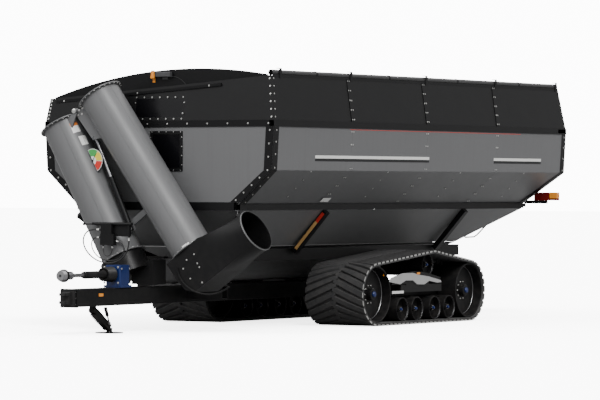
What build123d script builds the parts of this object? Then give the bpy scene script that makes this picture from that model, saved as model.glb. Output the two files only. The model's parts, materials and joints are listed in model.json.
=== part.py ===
"""Tracked grain cart with a folding side auger. Millimetres, +X to the hitch, +Y to the cart's left, +Z up."""
import os
from math import acos, atan2, cos, hypot, pi, radians, sin, tan

from build123d import *

os.makedirs("parts", exist_ok=True)

# ---- Driving dimensions ----------------------------------------------------------------------
# Hopper
hopper_length = 10320.0
front_x = 3765.0
band_half = 2300.0
band_top_z = 3400.0
knee_half = 2258.0
knee_z = 2680.0
rail_half = 1612.0
rail_top_z = 2117.0
rail_height = 100.0
ledge_z = 2150.0
funnel_half = 980.0
funnel_z = 1400.0
funnel_front_run = 750.0
funnel_rear_run = 1430.0
rear_slope_run = 440.0
sheet = 6.0
seam_gap = 0.6
bay_fractions = (0.0, 0.245, 0.493, 0.742, 1.0)
# Extension above the hopper
extension_z = 3510.0
extension_lean = 110.0
left_top_z = 4245.0
right_top_z = 3905.0
arch_rise = 135.0
arch_peak_y = 620.0
lip_width = 60.0
# Strips and rails
strip_width = 150.0
strip_thickness = 8.0
seam_strip = 90.0
rail_depth = 90.0
rail_wall = 6.0
# Windows in the front wall and front extension
window_half = 290.0
window_y = 180.0
lower_window_z = (2700.0, 3300.0)
upper_window_half = 470.0
upper_window_y = 10.0
upper_window_z = (3560.0, 3880.0)
# Cross braces
brace_radius = 38.0
brace_z = 3455.0
# Tarp
tarp_roll_radius = 50.0
tarp_stop_height = 125.0
# Main frame
frame_half = 860.0
frame_beam_width = 120.0
frame_beam_height = 200.0
frame_wall = 10.0
floor_trough_radius = 205.0
floor_screw_radius = 190.0
trough_cover = 200.0
feed_rise = 140.0
feed_inset = 14.0
floor_shaft_radius = 45.0
trough_z = 990.0
# Augers
auger_offset = 450.0
tube_radius = 350.0
tube_wall = 6.0
flange_radius = 405.0
flange_thickness = 16.0
screw_radius = 325.0
screw_pitch = 560.0
shaft_radius = 50.0
hinge_y = -1227.0
hinge_z = 3670.0
hinge_arm = 450.0
lower_lean = 29.0
upper_lean = 36.0
lower_tube_length = 2560.0
upper_tube_length = 3200.0
hinge_pin_radius = 28.0
hood_lift = 30.8
hood_start = 450.0
hood_end = 1206.0
mouth_radius = 360.0
boot_half = 350.0
hood_half = 336.0
sump_depth = 330.0
fold_foot_along = 2250.0
fold_foot_across = 430.0
fold_pin_along = 560.0
fold_pin_across = 420.0
fold_offset = 105.0
fold_lug = 14.0
fold_lug_half = 62.0
fold_cylinder_radius = 45.0
fold_rod_radius = 26.0
fold_pin_radius = 20.0
gate_length = 900.0
cradle_along = 2152.0
jack_cylinder_y = 92.0
barrel_length = 150.0
# Drawbar, hitch and jack
drawbar_front = 2620.0
drawbar_width = 300.0
drawbar_z = (455.0, 745.0)
drawbar_wall = 14.0
hitch_pin_radius = 25.5
hitch_z = 600.0
jack_pivot_x = 1880.0
jack_foot_x = 1410.0
jack_pivot_z = 430.0
jack_tube = 110.0
jack_cheek = 14.0
jack_pin_radius = 20.0
jack_eye_radius = 22.0
jack_foot_along = 430.0
jack_foot_radius = 230.0
# PTO
pto_z = 965.0
pto_box_x = 1180.0
pto_tip_x = 2800.0
# Tracks
track_outer = 2193.0
track_inner = 1034.0
belt_thickness = 60.0
wheel_radius = 490.0
front_wheel_x = 185.0
rear_wheel_x = -3085.0
carrier_x = -1785.0
carrier_radius = 200.0
carrier_z = 1032.0
roller_radius = 210.0
roller_xs = (-715.0, -1235.0, -1855.0, -2375.0)
wheel_face_inset = 43.0
wheel_width = 360.0
web_thickness = 36.0
axle_radius = 60.0
pivot_x = -1450.0
pivot_z = 655.0
pivot_radius = 110.0
axle_box_z = (480.0, 768.0)
axle_wall = 25.0
carrier_inset = 150.0
fit = 0.06
gap = 0.3
strip_gap = 0.9

# ---- Values worked out from them ---------------------------------------------------------------
rear_x = front_x - hopper_length
auger_x = front_x + auger_offset
low_dir = (-sin(radians(lower_lean)), cos(radians(lower_lean)))
up_dir = (-sin(radians(upper_lean)), cos(radians(upper_lean)))
hood_dir = (cos(radians(hood_lift)), sin(radians(hood_lift)))
low_top = (hinge_y - hinge_arm * low_dir[1], hinge_z + hinge_arm * low_dir[0])
up_top = (hinge_y + hinge_arm * up_dir[1], hinge_z - hinge_arm * up_dir[0])
low_base = (low_top[0] - lower_tube_length * low_dir[0], low_top[1] - lower_tube_length * low_dir[1])
up_end = (up_top[0] - upper_tube_length * up_dir[0], up_top[1] - upper_tube_length * up_dir[1])
boot_centre = (up_end[0] - 330.0 * up_dir[0], up_end[1] - 330.0 * up_dir[1])
track_mid = (track_outer + track_inner) / 2
wheel_z = wheel_radius + belt_thickness
roller_z = roller_radius + belt_thickness
feed_z = trough_z + feed_rise
feed_half = floor_trough_radius + sheet + 2 * gap
bay_xs = [front_x - hopper_length * fraction for fraction in bay_fractions]


def save(builder, name):
    """Labels a finished piece and writes it to its own STEP file."""
    builder.part.label = name
    export_step(builder.part, f"parts/{name}.step")


def yz_point(base, along, direction, across=0.0):
    """A (y, z) point a distance along a direction from a base, and across it to its left."""
    return (
        base[0] + along * direction[0] - across * direction[1],
        base[1] + along * direction[1] + across * direction[0],
    )


def across_plane(point, direction, x=auger_x):
    """A plane in the auger's plane of fold, square to the direction, with its x along the cart's X."""
    return Plane(origin=(x, point[0], point[1]), x_dir=(1, 0, 0), z_dir=(0, direction[0], direction[1]))


def panel(corners, thickness=sheet, mode=Mode.ADD):
    """Adds a flat plate with these outer corners; its thickness goes to the left of their turn."""
    face = Face(Wire.make_polygon([Vector(*corner) for corner in corners], close=True))
    return extrude(face, amount=thickness, mode=mode)


def bar(start, end, width, height, up=(0, 0, 1), mode=Mode.ADD):
    """Adds a straight rectangular bar between two points."""
    start, end = Vector(*start), Vector(*end)
    along = end - start
    side = Vector(*up).cross(along)
    plane = Plane(origin=start, x_dir=side, z_dir=along)
    with BuildSketch(plane) as section:
        Rectangle(width, height)
    return extrude(section.sketch, amount=along.length, mode=mode)


def rod(start, end, radius, mode=Mode.ADD):
    """Adds a straight round bar between two points."""
    start, end = Vector(*start), Vector(*end)
    with BuildSketch(Plane(origin=start, z_dir=end - start)) as section:
        Circle(radius)
    return extrude(section.sketch, amount=(end - start).length, mode=mode)


def mirrored(part):
    """The same pieces on the cart's other side."""
    return mirror(part, about=Plane.XZ, mode=Mode.PRIVATE)


def box_between(low, high, mode=Mode.ADD):
    """Adds a box from its lowest to its highest corner."""
    size = [high[i] - low[i] for i in range(3)]
    middle = [(high[i] + low[i]) / 2 for i in range(3)]
    with Locations(tuple(middle)):
        Box(*size, mode=mode)


def tube_between(low, high, wall, along):
    """Adds a rectangular hollow section from its lowest to its highest corner, open along one axis."""
    box_between(low, high)
    inner_low = [low[i] - 1 if i == along else low[i] + wall for i in range(3)]
    inner_high = [high[i] + 1 if i == along else high[i] - wall for i in range(3)]
    box_between(inner_low, inner_high, mode=Mode.SUBTRACT)


# ---- Hopper ----------------------------------------------------------------------------------
def lean_at(z):
    """Half width of the upper side panel at a height, from the knee to the band's top."""
    share = (z - knee_z) / (band_top_z - knee_z)
    return knee_half + share * (band_half - knee_half)


def slope_rear_x(z):
    """The rear wall's X at a height, upright above the knee and leaning forward below it."""
    share = max(0.0, (knee_z - z) / (knee_z - rail_top_z))
    return rear_x + share * rear_slope_run


def build_hopper_panels():
    """Upper and inclined side panels in four bays, the front wall around its window, the rear wall."""
    front_in, top = front_x - sheet - gap, band_top_z
    with BuildPart() as left:
        for ahead, behind in zip(bay_xs[:-1], bay_xs[1:]):
            x_high, x_low = ahead - seam_gap, behind + seam_gap
            panel([(x_high, band_half, top), (x_high, knee_half, knee_z + sheet),
                   (x_low, knee_half, knee_z + sheet), (x_low, band_half, top)], thickness=-sheet)
            last = behind == bay_xs[-1]
            foot_x = slope_rear_x(rail_top_z) + seam_gap if last else x_low
            panel([(x_high, knee_half, knee_z), (x_high, rail_half, rail_top_z),
                   (foot_x, rail_half, rail_top_z), (x_low, knee_half, knee_z)], thickness=-sheet)
    inner = sheet + gap
    low_w, high_w = lower_window_z
    win_low, win_high = window_y - window_half, window_y + window_half
    with BuildPart() as hopper:
        add(left.part)
        add(mirrored(left.part))
        for side in (-1, 1):
            edge = win_high if side > 0 else win_low
            outline = [(side * (lean_at(top) - inner), top), (side * (knee_half - inner), knee_z),
                       (side * (rail_half + 25), ledge_z), (edge + side * gap, ledge_z),
                       (edge + side * gap, top)]
            with BuildSketch(Plane.YZ.offset(front_in)):
                with BuildLine():
                    Polyline(*outline, close=True)
                make_face()
            extrude(amount=sheet)
        box_between((front_in, win_low, ledge_z), (front_in + sheet, win_high, low_w))
        box_between((front_in, win_low, high_w), (front_in + sheet, win_high, top))
        rear_foot = slope_rear_x(rail_top_z)
        with BuildSketch(Plane.YZ.offset(rear_x + gap)):
            with BuildLine():
                Polyline((lean_at(top) - inner, top), (knee_half - inner, knee_z + gap),
                         (inner - knee_half, knee_z + gap), (inner - lean_at(top), top), close=True)
            make_face()
        extrude(amount=sheet)
        panel([(rear_x + gap, inner - knee_half, knee_z), (rear_x + gap, knee_half - inner, knee_z),
               (rear_foot + gap, rail_half - 2 * inner, rail_top_z),
               (rear_foot + gap, 2 * inner - rail_half, rail_top_z)], thickness=-sheet)
    save(hopper, "hopper_panels")


def feed_half_at(z):
    """Half the width between the feed slopes at a height."""
    slope = (funnel_half - feed_inset - feed_half) / (funnel_z - 8 - feed_z)
    return feed_half + slope * (z - feed_z)


def build_lower_hopper():
    """The funnel below the rails: two sides, a front and a rear slope, and the feed slopes to the trough."""
    rail_z = rail_top_z - rail_height - sheet - gap
    front_top, front_low = front_x - 8.0, front_x - funnel_front_run
    rear_top, rear_low = slope_rear_x(rail_top_z) + 8.0, slope_rear_x(rail_top_z) + funnel_rear_run
    half_top = rail_half - 4.0
    with BuildPart() as left:
        panel([(front_top, half_top, rail_z), (front_low, funnel_half, funnel_z),
               (rear_low, funnel_half, funnel_z), (rear_top, half_top, rail_z)], thickness=-sheet)
        panel([(front_low, funnel_half - feed_inset, funnel_z - 8), (front_low, feed_half, feed_z),
               (rear_low, feed_half, feed_z), (rear_low, funnel_half - feed_inset, funnel_z - 8)],
              thickness=-sheet)
    with BuildPart() as funnel:
        add(left.part)
        add(mirrored(left.part))
        inset = 3 * sheet
        panel([(front_top - gap, inset - half_top, rail_z), (front_low - gap, inset - funnel_half, funnel_z),
               (front_low - gap, funnel_half - inset, funnel_z), (front_top - gap, half_top - inset, rail_z)],
              thickness=-sheet)
        panel([(rear_top + gap, inset - half_top, rail_z), (rear_low + gap, inset - funnel_half, funnel_z),
               (rear_low + gap, funnel_half - inset, funnel_z), (rear_top + gap, half_top - inset, rail_z)],
              thickness=sheet)
        end_z = trough_z + floor_screw_radius + 10.0
        end_half = feed_half_at(end_z) - 3 * sheet - 2 * gap
        for x in (front_low - 10 * gap - sheet, rear_low + 10 * gap):
            with BuildSketch(Plane.YZ.offset(x)):
                with BuildLine():
                    Polyline((funnel_half - 60, funnel_z - 16), (end_half, end_z), (-end_half, end_z),
                             (60 - funnel_half, funnel_z - 16), close=True)
                make_face()
            extrude(amount=sheet)
    save(funnel, "lower_hopper")


# ---- Extension -------------------------------------------------------------------------------
def lean_in(z):
    """How far the extension has leaned inwards at a height."""
    return extension_lean * (z - extension_z) / (left_top_z - extension_z)


def extension_top_z(y):
    """Height of the extension's top edge across the cart, falling from the left side to the right."""
    left_y, right_y = band_half - lean_in(left_top_z), lean_in(right_top_z) - band_half
    return right_top_z + (left_top_z - right_top_z) * (y - right_y) / (left_y - right_y)


def end_point(end_x, inward, y, z):
    """A point on the leaning front or rear panel, given its foot's X and which way is inwards."""
    return (end_x + inward * lean_in(z), y, z)


def extension_end(end_x, inward, y_from, y_to, z_from, z_to=None):
    """Adds one panel of a leaning end, up to a height or to the sloping top edge."""
    low_from, low_to, high_from, high_to = y_from, y_to, y_from, y_to
    z_high_from, z_high_to = (z_to or extension_top_z(y) - 2 * gap for y in (y_from, y_to))
    inner = sheet + 3 * gap
    if y_from <= -band_half + inner:
        high_from += lean_in(z_high_from)
    if y_to >= band_half - inner:
        high_to -= lean_in(z_high_to)
    panel([end_point(end_x, inward, low_from, z_from), end_point(end_x, inward, low_to, z_from),
           end_point(end_x, inward, high_to, z_high_to), end_point(end_x, inward, high_from, z_high_from)],
          thickness=inward * sheet)


def build_extension():
    """Black side, front and rear extension panels, all leaning inwards."""
    z_low = extension_z + 2 * gap
    inner = sheet + 3 * gap
    win_low, win_high = upper_window_y - upper_window_half, upper_window_y + upper_window_half
    half = band_half - inner
    with BuildPart() as extension:
        for side, z_top in ((1, left_top_z), (-1, right_top_z)):
            half_top = band_half - lean_in(z_top)
            for ahead, behind in zip(bay_xs[:-1], bay_xs[1:]):
                x_high, x_low = ahead - seam_gap, behind + seam_gap
                top_high = x_high - lean_in(z_top) if ahead == front_x else x_high
                top_low = x_low + lean_in(z_top) if behind == rear_x else x_low
                panel([(x_high, side * band_half, z_low), (x_low, side * band_half, z_low),
                       (top_low, side * half_top, z_top), (top_high, side * half_top, z_top)],
                      thickness=-side * sheet)
        front, rear = front_x - 2 * gap, rear_x + 2 * gap
        extension_end(front, -1, -half, win_low - gap, z_low)
        extension_end(front, -1, win_high + gap, half, z_low)
        extension_end(front, -1, win_low, win_high, z_low, upper_window_z[0])
        extension_end(front, -1, win_low, win_high, upper_window_z[1])
        extension_end(rear, 1, -half, half, z_low)
    save(extension, "extension_panels")


def lip(end_x, inward, half_right, half_left):
    """Adds a turned lip along the sloping top edge of one end."""
    x = end_x + inward * (lean_in(left_top_z) + sheet + strip_gap)
    panel([(x, -half_right, extension_top_z(-half_right)), (x, half_left, extension_top_z(half_left)),
           (x + inward * lip_width, half_left, extension_top_z(half_left)),
           (x + inward * lip_width, -half_right, extension_top_z(-half_right))], thickness=inward * sheet)


def build_tarp_arch():
    """The arched bulkhead behind the front extension, and the turned lips on both ends."""
    half_left = band_half - lean_in(left_top_z) - 2 * tarp_roll_radius - 20.0
    half_right = band_half - lean_in(right_top_z) - 15.0
    plate_x = front_x - extension_lean - lip_width - 2 * sheet - 2 * strip_gap
    with BuildPart() as arch:
        with BuildSketch(Plane.YZ.offset(plate_x)):
            with BuildLine():
                ThreePointArc((-half_right, right_top_z + 20), (arch_peak_y - 700, left_top_z + arch_rise - 25),
                              (half_left, left_top_z + 20))
                Polyline((half_left, left_top_z + 20), (half_left, left_top_z - 90),
                         (-half_right, right_top_z - 90), (-half_right, right_top_z + 20))
            make_face()
        extrude(amount=sheet)
        lip(front_x, -1, half_right, half_left)
        lip(rear_x, 1, half_right, half_left)
    save(arch, "tarp_arch")


# ---- Rails, strips and windows ---------------------------------------------------------------
def build_ring_rails():
    """The black rail between hopper and extension, the lower side rails and the front ledge bar."""
    with BuildPart() as rails:
        z_low, z_high = band_top_z + 2 * gap, extension_z - gap
        proud, cut = 12.0, band_half - rail_depth - gap
        for side in (-1, 1):
            y_low, y_high = sorted((side * (band_half + proud), side * (band_half - rail_depth)))
            tube_between((rear_x - proud, y_low, z_low), (front_x + proud, y_high, z_high), rail_wall, 0)
        for x_low in (front_x - rail_depth, rear_x - proud):
            tube_between((x_low, -cut, z_low), (x_low + rail_depth + proud, cut, z_high), rail_wall, 1)
        low, high = rail_top_z - rail_height, rail_top_z - gap
        rear_end = slope_rear_x(rail_top_z)
        for side in (-1, 1):
            y_low, y_high = sorted((side * (rail_half - 70), side * (rail_half + 30)))
            tube_between((rear_end, y_low, low), (front_x - 10, y_high, high), rail_wall, 0)
        half = rail_half - 70 - gap
        tube_between((front_x - 60, -half, low), (front_x + 30, half, ledge_z - gap), rail_wall, 1)
        tube_between((rear_end, -half, low), (rear_end + 80, half, high), rail_wall, 1)
    save(rails, "ring_rails")


def side_strips(x_high, x_low, foot_shift=0.0):
    """Adds the bolted strips down one side seam: on the band and on the inclined panel below the knee."""
    lift = strip_gap
    panel([(x_high, band_half + lift, band_top_z - 2), (x_high, knee_half + lift, knee_z + gap),
           (x_low, knee_half + lift, knee_z + gap), (x_low, band_half + lift, band_top_z - 2)],
          thickness=strip_thickness)
    panel([(x_high, knee_half + lift, knee_z - gap), (x_high + foot_shift, rail_half + 38, rail_top_z + 4),
           (x_low + foot_shift, rail_half + 38, rail_top_z + 4), (x_low, knee_half + lift, knee_z - gap)],
          thickness=strip_thickness)


def extension_strips(x_high, x_low, side, z_top):
    """Adds the strip over one seam of the extension."""
    foot, head = side * (band_half + strip_gap), side * (band_half - lean_in(z_top) + strip_gap)
    z_low = extension_z + 4 * strip_gap
    panel([(x_high, foot, z_low), (x_low, foot, z_low), (x_low, head, z_top - 6), (x_high, head, z_top - 6)],
          thickness=side * strip_thickness)


def front_strips():
    """Adds the strips on the front wall's left corner, above and below the knee."""
    x, corner = front_x + strip_gap, strip_width
    panel([(x, band_half - corner, band_top_z - 2), (x, band_half - 2, band_top_z - 2),
           (x, knee_half - 2, knee_z + gap), (x, knee_half - corner, knee_z + gap)], thickness=-strip_thickness)
    panel([(x, knee_half - corner, knee_z - gap), (x, knee_half - 2, knee_z - gap),
           (x, rail_half + 38, ledge_z + 4), (x, rail_half + 38 - 1.3 * corner, ledge_z + 4)],
          thickness=-strip_thickness)


def build_seam_strips():
    """Black bolted strips at the four corners, and narrower strips over the side seams."""
    with BuildPart() as left:
        side_strips(front_x, front_x - strip_width)
        side_strips(rear_x + strip_width, rear_x, rear_slope_run)
        front_strips()
    with BuildPart() as strips:
        add(left.part)
        add(mirrored(left.part))
        for side, z_top in ((1, left_top_z), (-1, right_top_z)):
            for x in bay_xs[1:-1]:
                extension_strips(x + seam_strip / 2, x - seam_strip / 2, side, z_top)
    save(strips, "seam_strips")


def build_windows():
    """Frames and panes of the upper and lower windows of the front."""
    border, thick = 36.0, 10.0
    low_z, high_z = lower_window_z
    with BuildPart() as frames:
        with BuildSketch(Plane.YZ.offset(front_x + gap)):
            with Locations((window_y, (low_z + high_z) / 2)):
                Rectangle(2 * (window_half + border), high_z - low_z + 2 * border)
                Rectangle(2 * (window_half - 20), high_z - low_z - 40, mode=Mode.SUBTRACT)
        extrude(amount=thick)
    save(frames, "window_frame")
    with BuildPart() as panes:
        box_between((front_x - sheet, window_y - window_half, low_z + 1),
                    (front_x, window_y + window_half, high_z - 1))
        z0, z1 = upper_window_z
        x0, x1 = front_x - lean_in(z0), front_x - lean_in(z1)
        y0, y1 = upper_window_y - upper_window_half, upper_window_y + upper_window_half
        panel([(x0 - 2, y0, z0 + 1), (x0 - 2, y1, z0 + 1), (x1 - 2, y1, z1 - 1), (x1 - 2, y0, z1 - 1)],
              thickness=-sheet)
    save(panes, "window_panes")


def build_braces():
    """Round cross braces inside the hopper at each seam."""
    with BuildPart() as braces:
        for x in bay_xs[1:-1]:
            end = band_half - rail_depth - gap
            rod((x, -end, brace_z), (x, end, brace_z), brace_radius)
    save(braces, "tank_braces")


# ---- Tarp, lights ----------------------------------------------------------------------------
def build_tarp():
    """The tarp rolled up along the left top edge, and the upright stops that hold it."""
    y_roll = band_half - extension_lean - 43.7
    z_roll = left_top_z + tarp_roll_radius + gap
    with BuildPart() as roll:
        rod((rear_x + extension_lean + 20, y_roll, z_roll), (front_x - extension_lean - 20, y_roll, z_roll),
            tarp_roll_radius)
    save(roll, "tarp_roll")
    stop_y = y_roll + tarp_roll_radius + gap
    with BuildPart() as stops:
        for fraction in (0.035, 0.255, 0.505, 0.752, 0.98):
            x = front_x - hopper_length * fraction
            box_between((x - 35, stop_y, left_top_z - 40), (x + 35, stop_y + 8, left_top_z + tarp_stop_height))
            box_between((x - 35, stop_y - 60, left_top_z + tarp_stop_height - 8),
                        (x + 35, stop_y + 8, left_top_z + tarp_stop_height))
    save(stops, "tarp_stops")


def build_lights():
    """Amber beacon and work light on the arch, and the tail lamps on their arms."""
    mast_x = front_x - extension_lean - lip_width - sheet - 2 * strip_gap + gap
    with BuildPart() as beacon:
        with BuildSketch(Plane.XY.offset(left_top_z - 20)):
            with Locations((mast_x + 45, -190.0)):
                Circle(42)
        extrude(amount=40)
        with BuildSketch(Plane.XY.offset(left_top_z + 20)):
            with Locations((mast_x + 45, -190.0)):
                Circle(36)
        extrude(amount=90, taper=4)
        box_between((mast_x, -215, left_top_z - 90), (mast_x + 8, -165, left_top_z - 20))
        box_between((mast_x, -215, left_top_z - 28), (mast_x + 60, -165, left_top_z - 20))
    save(beacon, "beacon")
    with BuildPart() as work_light:
        box_between((mast_x + 12, -110, left_top_z), (mast_x + 82, 180, left_top_z + 85))
        fillet(work_light.edges().filter_by(Axis.Y), radius=12)
        box_between((mast_x, -20, left_top_z - 40), (mast_x + 8, 90, left_top_z + 60))
        box_between((mast_x, -20, left_top_z + 20), (mast_x + 20, 90, left_top_z + 28))
    save(work_light, "work_light")
    lamp_x, lamp_z, arm_root = slope_rear_x(rail_top_z) - 260.0, 2160.0, rail_half - 60
    with BuildPart() as arms:
        for side in (-1, 1):
            y_low, y_high = sorted((side * arm_root, side * 2020.0))
            box_between((lamp_x, y_low, lamp_z - 60), (lamp_x + 60, y_high, lamp_z))
            y_low, y_high = sorted((side * arm_root, side * (arm_root - 60)))
            box_between((lamp_x, y_low, lamp_z - 120), (lamp_x + 260 - gap, y_high, lamp_z - 60))
    save(arms, "tail_lamp_arms")
    with BuildPart() as lamps:
        for side in (-1, 1):
            y_low, y_high = sorted((side * 1760.0, side * 2240.0))
            box_between((lamp_x - 50, y_low, lamp_z + gap), (lamp_x + 60, y_high, lamp_z + 150))
    save(lamps, "tail_lamps")


# ---- Frame -----------------------------------------------------------------------------------
def build_main_frame():
    """Long beams under the funnel, cross beams, side legs with gussets and the drop legs to the axle."""
    z_high = funnel_z - 55.0
    z_low = z_high - frame_beam_height
    front_end, rear_end = front_x - funnel_front_run + 200.0, slope_rear_x(rail_top_z) + funnel_rear_run - 120.0
    with BuildPart() as left:
        y_in = frame_half
        tube_between((rear_end, y_in, z_low), (front_end, y_in + frame_beam_width, z_high), frame_wall, 0)
        legs = ((front_end - 200.0, front_end + 520.0, 59.2, 20.0, 80.0),
                (pivot_x + 2480.0, pivot_x + 2480.0, 34.2, 36.0, 31.0),
                (pivot_x - 2400.0, pivot_x - 2400.0, 34.2, 36.0, 31.0))
        for foot_x, head_x, foot_out, head_out, drop in legs:
            bar((foot_x, frame_half + frame_beam_width + foot_out, z_high - 60),
                (head_x, rail_half + head_out, rail_top_z - rail_height - drop), 90, 120, up=(1, 0, 0))
        for x in (pivot_x + 300.0, pivot_x - 300.0):
            box_between((x - 60, frame_half, axle_box_z[1] + gap), (x + 60, frame_half + 110, z_low - gap))
    with BuildPart() as frame:
        add(left.part)
        add(mirrored(left.part))
        for x in (front_end - 60.0, rear_end + 60.0):
            cut = frame_half - gap
            z_cross = z_low + 80.0
            box_between((x - 60, -cut, z_low), (x + 60, -floor_trough_radius - 30, z_cross))
            box_between((x - 60, floor_trough_radius + 30, z_low), (x + 60, cut, z_cross))
        mast = front_end - 200.0
        for side in (-1, 1):
            y_low, y_high = sorted((side * (frame_half - gap), side * (frame_half - 110)))
            box_between((mast - 70, y_low, drawbar_z[1] + 2 * gap), (mast + 70, y_high, z_low - gap))
    save(frame, "main_frame")


def build_axle():
    """The axle beam with its drop to the frame and the round stubs that carry the tracks."""
    half_box = track_inner - 40.0
    with BuildPart() as axle:
        tube_between((pivot_x - 380, -half_box, axle_box_z[0]), (pivot_x + 380, half_box, axle_box_z[1]),
                     axle_wall, 0)
        for side in (-1, 1):
            with BuildSketch(Plane.XZ.offset(-side * half_box)) as stub:
                with Locations((pivot_x, pivot_z)):
                    Circle(pivot_radius)
            length = track_mid + 140.0 - half_box
            extrude(stub.sketch, amount=-side * length)
    save(axle, "axle_beam")


def build_drawbar():
    """The drawbar box beam from the axle to the hitch, with its cross tube and the hitch plate."""
    z_low, z_high = drawbar_z
    tip = front_x + drawbar_front
    rear = pivot_x + 380.0 + gap
    half = drawbar_width / 2
    with BuildPart() as drawbar:
        mast = front_x - funnel_front_run
        box_between((rear, -half, z_low), (tip - 90, half, z_high))
        fillet(drawbar.edges().filter_by(Axis.X), radius=20)
        box_between((mast - 90, -frame_half, z_low + 60), (mast + 90, frame_half, z_high))
        box_between((mast - 78, -frame_half - 1, z_low + 72), (mast + 78, frame_half + 1, z_high - 12),
                    mode=Mode.SUBTRACT)
        box_between((rear - 1, drawbar_wall - half, z_low + drawbar_wall),
                    (tip - 91, half - drawbar_wall, z_high - drawbar_wall), mode=Mode.SUBTRACT)
        box_between((tip - 90, -half - 12, z_low - 8), (tip - 60, half + 12, z_high + 8))
        jack_x, jack_z, tongue = front_x + jack_pivot_x, jack_pivot_z - 40.0, jack_tube / 2 - jack_cheek - gap
        rod((jack_x, -tongue, jack_z), (jack_x, tongue, jack_z), 40)
        box_between((jack_x - 40, -tongue, jack_z), (jack_x + 40, tongue, z_low + 2))
        rod((jack_x, -jack_tube / 2, jack_z), (jack_x, jack_tube / 2, jack_z), jack_pin_radius)
    save(drawbar, "drawbar")
    with BuildPart() as hitch:
        box_between((tip - 60 + gap, -half + 10, z_low + 10), (tip - 20, half - 10, z_high - 20))
        with BuildSketch(Plane.XZ.offset(-75)):
            with BuildLine():
                Polyline((tip - 20, hitch_z - 105), (tip + 40, hitch_z - 90), (tip + 40, hitch_z + 90),
                         (tip - 20, hitch_z + 105), close=True)
            make_face()
        extrude(amount=150)
        for z in (hitch_z + 45, hitch_z - 85):
            with BuildSketch(Plane.XY.offset(z)):
                with BuildLine():
                    Polyline((tip + 40, -75), (tip + 110, -70))
                    Line((tip + 110, -70), (tip + 110, -55))
                    ThreePointArc((tip + 110, -55), (tip + 170, 0), (tip + 110, 55))
                    Line((tip + 110, 55), (tip + 110, 70))
                    Polyline((tip + 110, 70), (tip + 40, 75), (tip + 40, -75))
                make_face()
                with Locations((tip + 105, 0)):
                    Circle(hitch_pin_radius, mode=Mode.SUBTRACT)
            extrude(amount=40)
    save(hitch, "hitch_clevis")


# ---- Jack ------------------------------------------------------------------------------------
def build_jack():
    """Parking jack: a leg hinged under the drawbar, its foot, and the cylinder that swings it."""
    pivot = (front_x + jack_pivot_x, jack_pivot_z - 40.0)
    ankle = (front_x + jack_foot_x, 62.0)
    reach = hypot(ankle[0] - pivot[0], ankle[1] - pivot[1])
    direction = ((ankle[0] - pivot[0]) / reach, (ankle[1] - pivot[1]) / reach)
    half = jack_tube / 2
    leg_plane = Plane(origin=(pivot[0] + 50 * direction[0], 0, pivot[1] + 50 * direction[1]), x_dir=(0, 1, 0),
                      z_dir=(direction[0], 0, direction[1]))
    with BuildPart() as leg:
        with BuildSketch(leg_plane):
            Rectangle(jack_tube, jack_tube)
        extrude(amount=reach - 100)
        for y in (-half, half - jack_cheek):
            rod((pivot[0], y, pivot[1]), (pivot[0], y + jack_cheek, pivot[1]), 45)
            bar((pivot[0], y + 7, pivot[1]),
                (pivot[0] + 60 * direction[0], y + 7, pivot[1] + 60 * direction[1]), 14, 80, up=(1, 0, 0.3))
            rod((pivot[0], y - 1, pivot[1]), (pivot[0], y + 15, pivot[1]), jack_pin_radius + fit,
                mode=Mode.SUBTRACT)
        bar((pivot[0] + (reach - 52) * direction[0], 0, pivot[1] + (reach - 52) * direction[1]),
            (ankle[0], 0, ankle[1]), 50, 40, up=(0, 1, 0))
        rod((ankle[0], -20, ankle[1]), (ankle[0], 20, ankle[1]), 30)
        rod((ankle[0], -21, ankle[1]), (ankle[0], 21, ankle[1]), 14 + fit, mode=Mode.SUBTRACT)
        eye = (pivot[0] + jack_foot_along * direction[0], pivot[1] + jack_foot_along * direction[1])
        rod((eye[0], half - 1, eye[1]), (eye[0], jack_cylinder_y - jack_eye_radius - gap, eye[1]), 12)
    save(leg, "jack_leg")
    with BuildPart() as foot:
        with BuildSketch(Plane.XY):
            with Locations((ankle[0], 0)):
                Circle(jack_foot_radius)
        extrude(amount=14)
        for y in (-38, 24):
            box_between((ankle[0] - 34, y, 14), (ankle[0] + 34, y + 14, ankle[1] + 24))
        rod((ankle[0], -38, ankle[1]), (ankle[0], 38, ankle[1]), 14)
    save(foot, "jack_foot")
    return pivot, ankle


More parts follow.
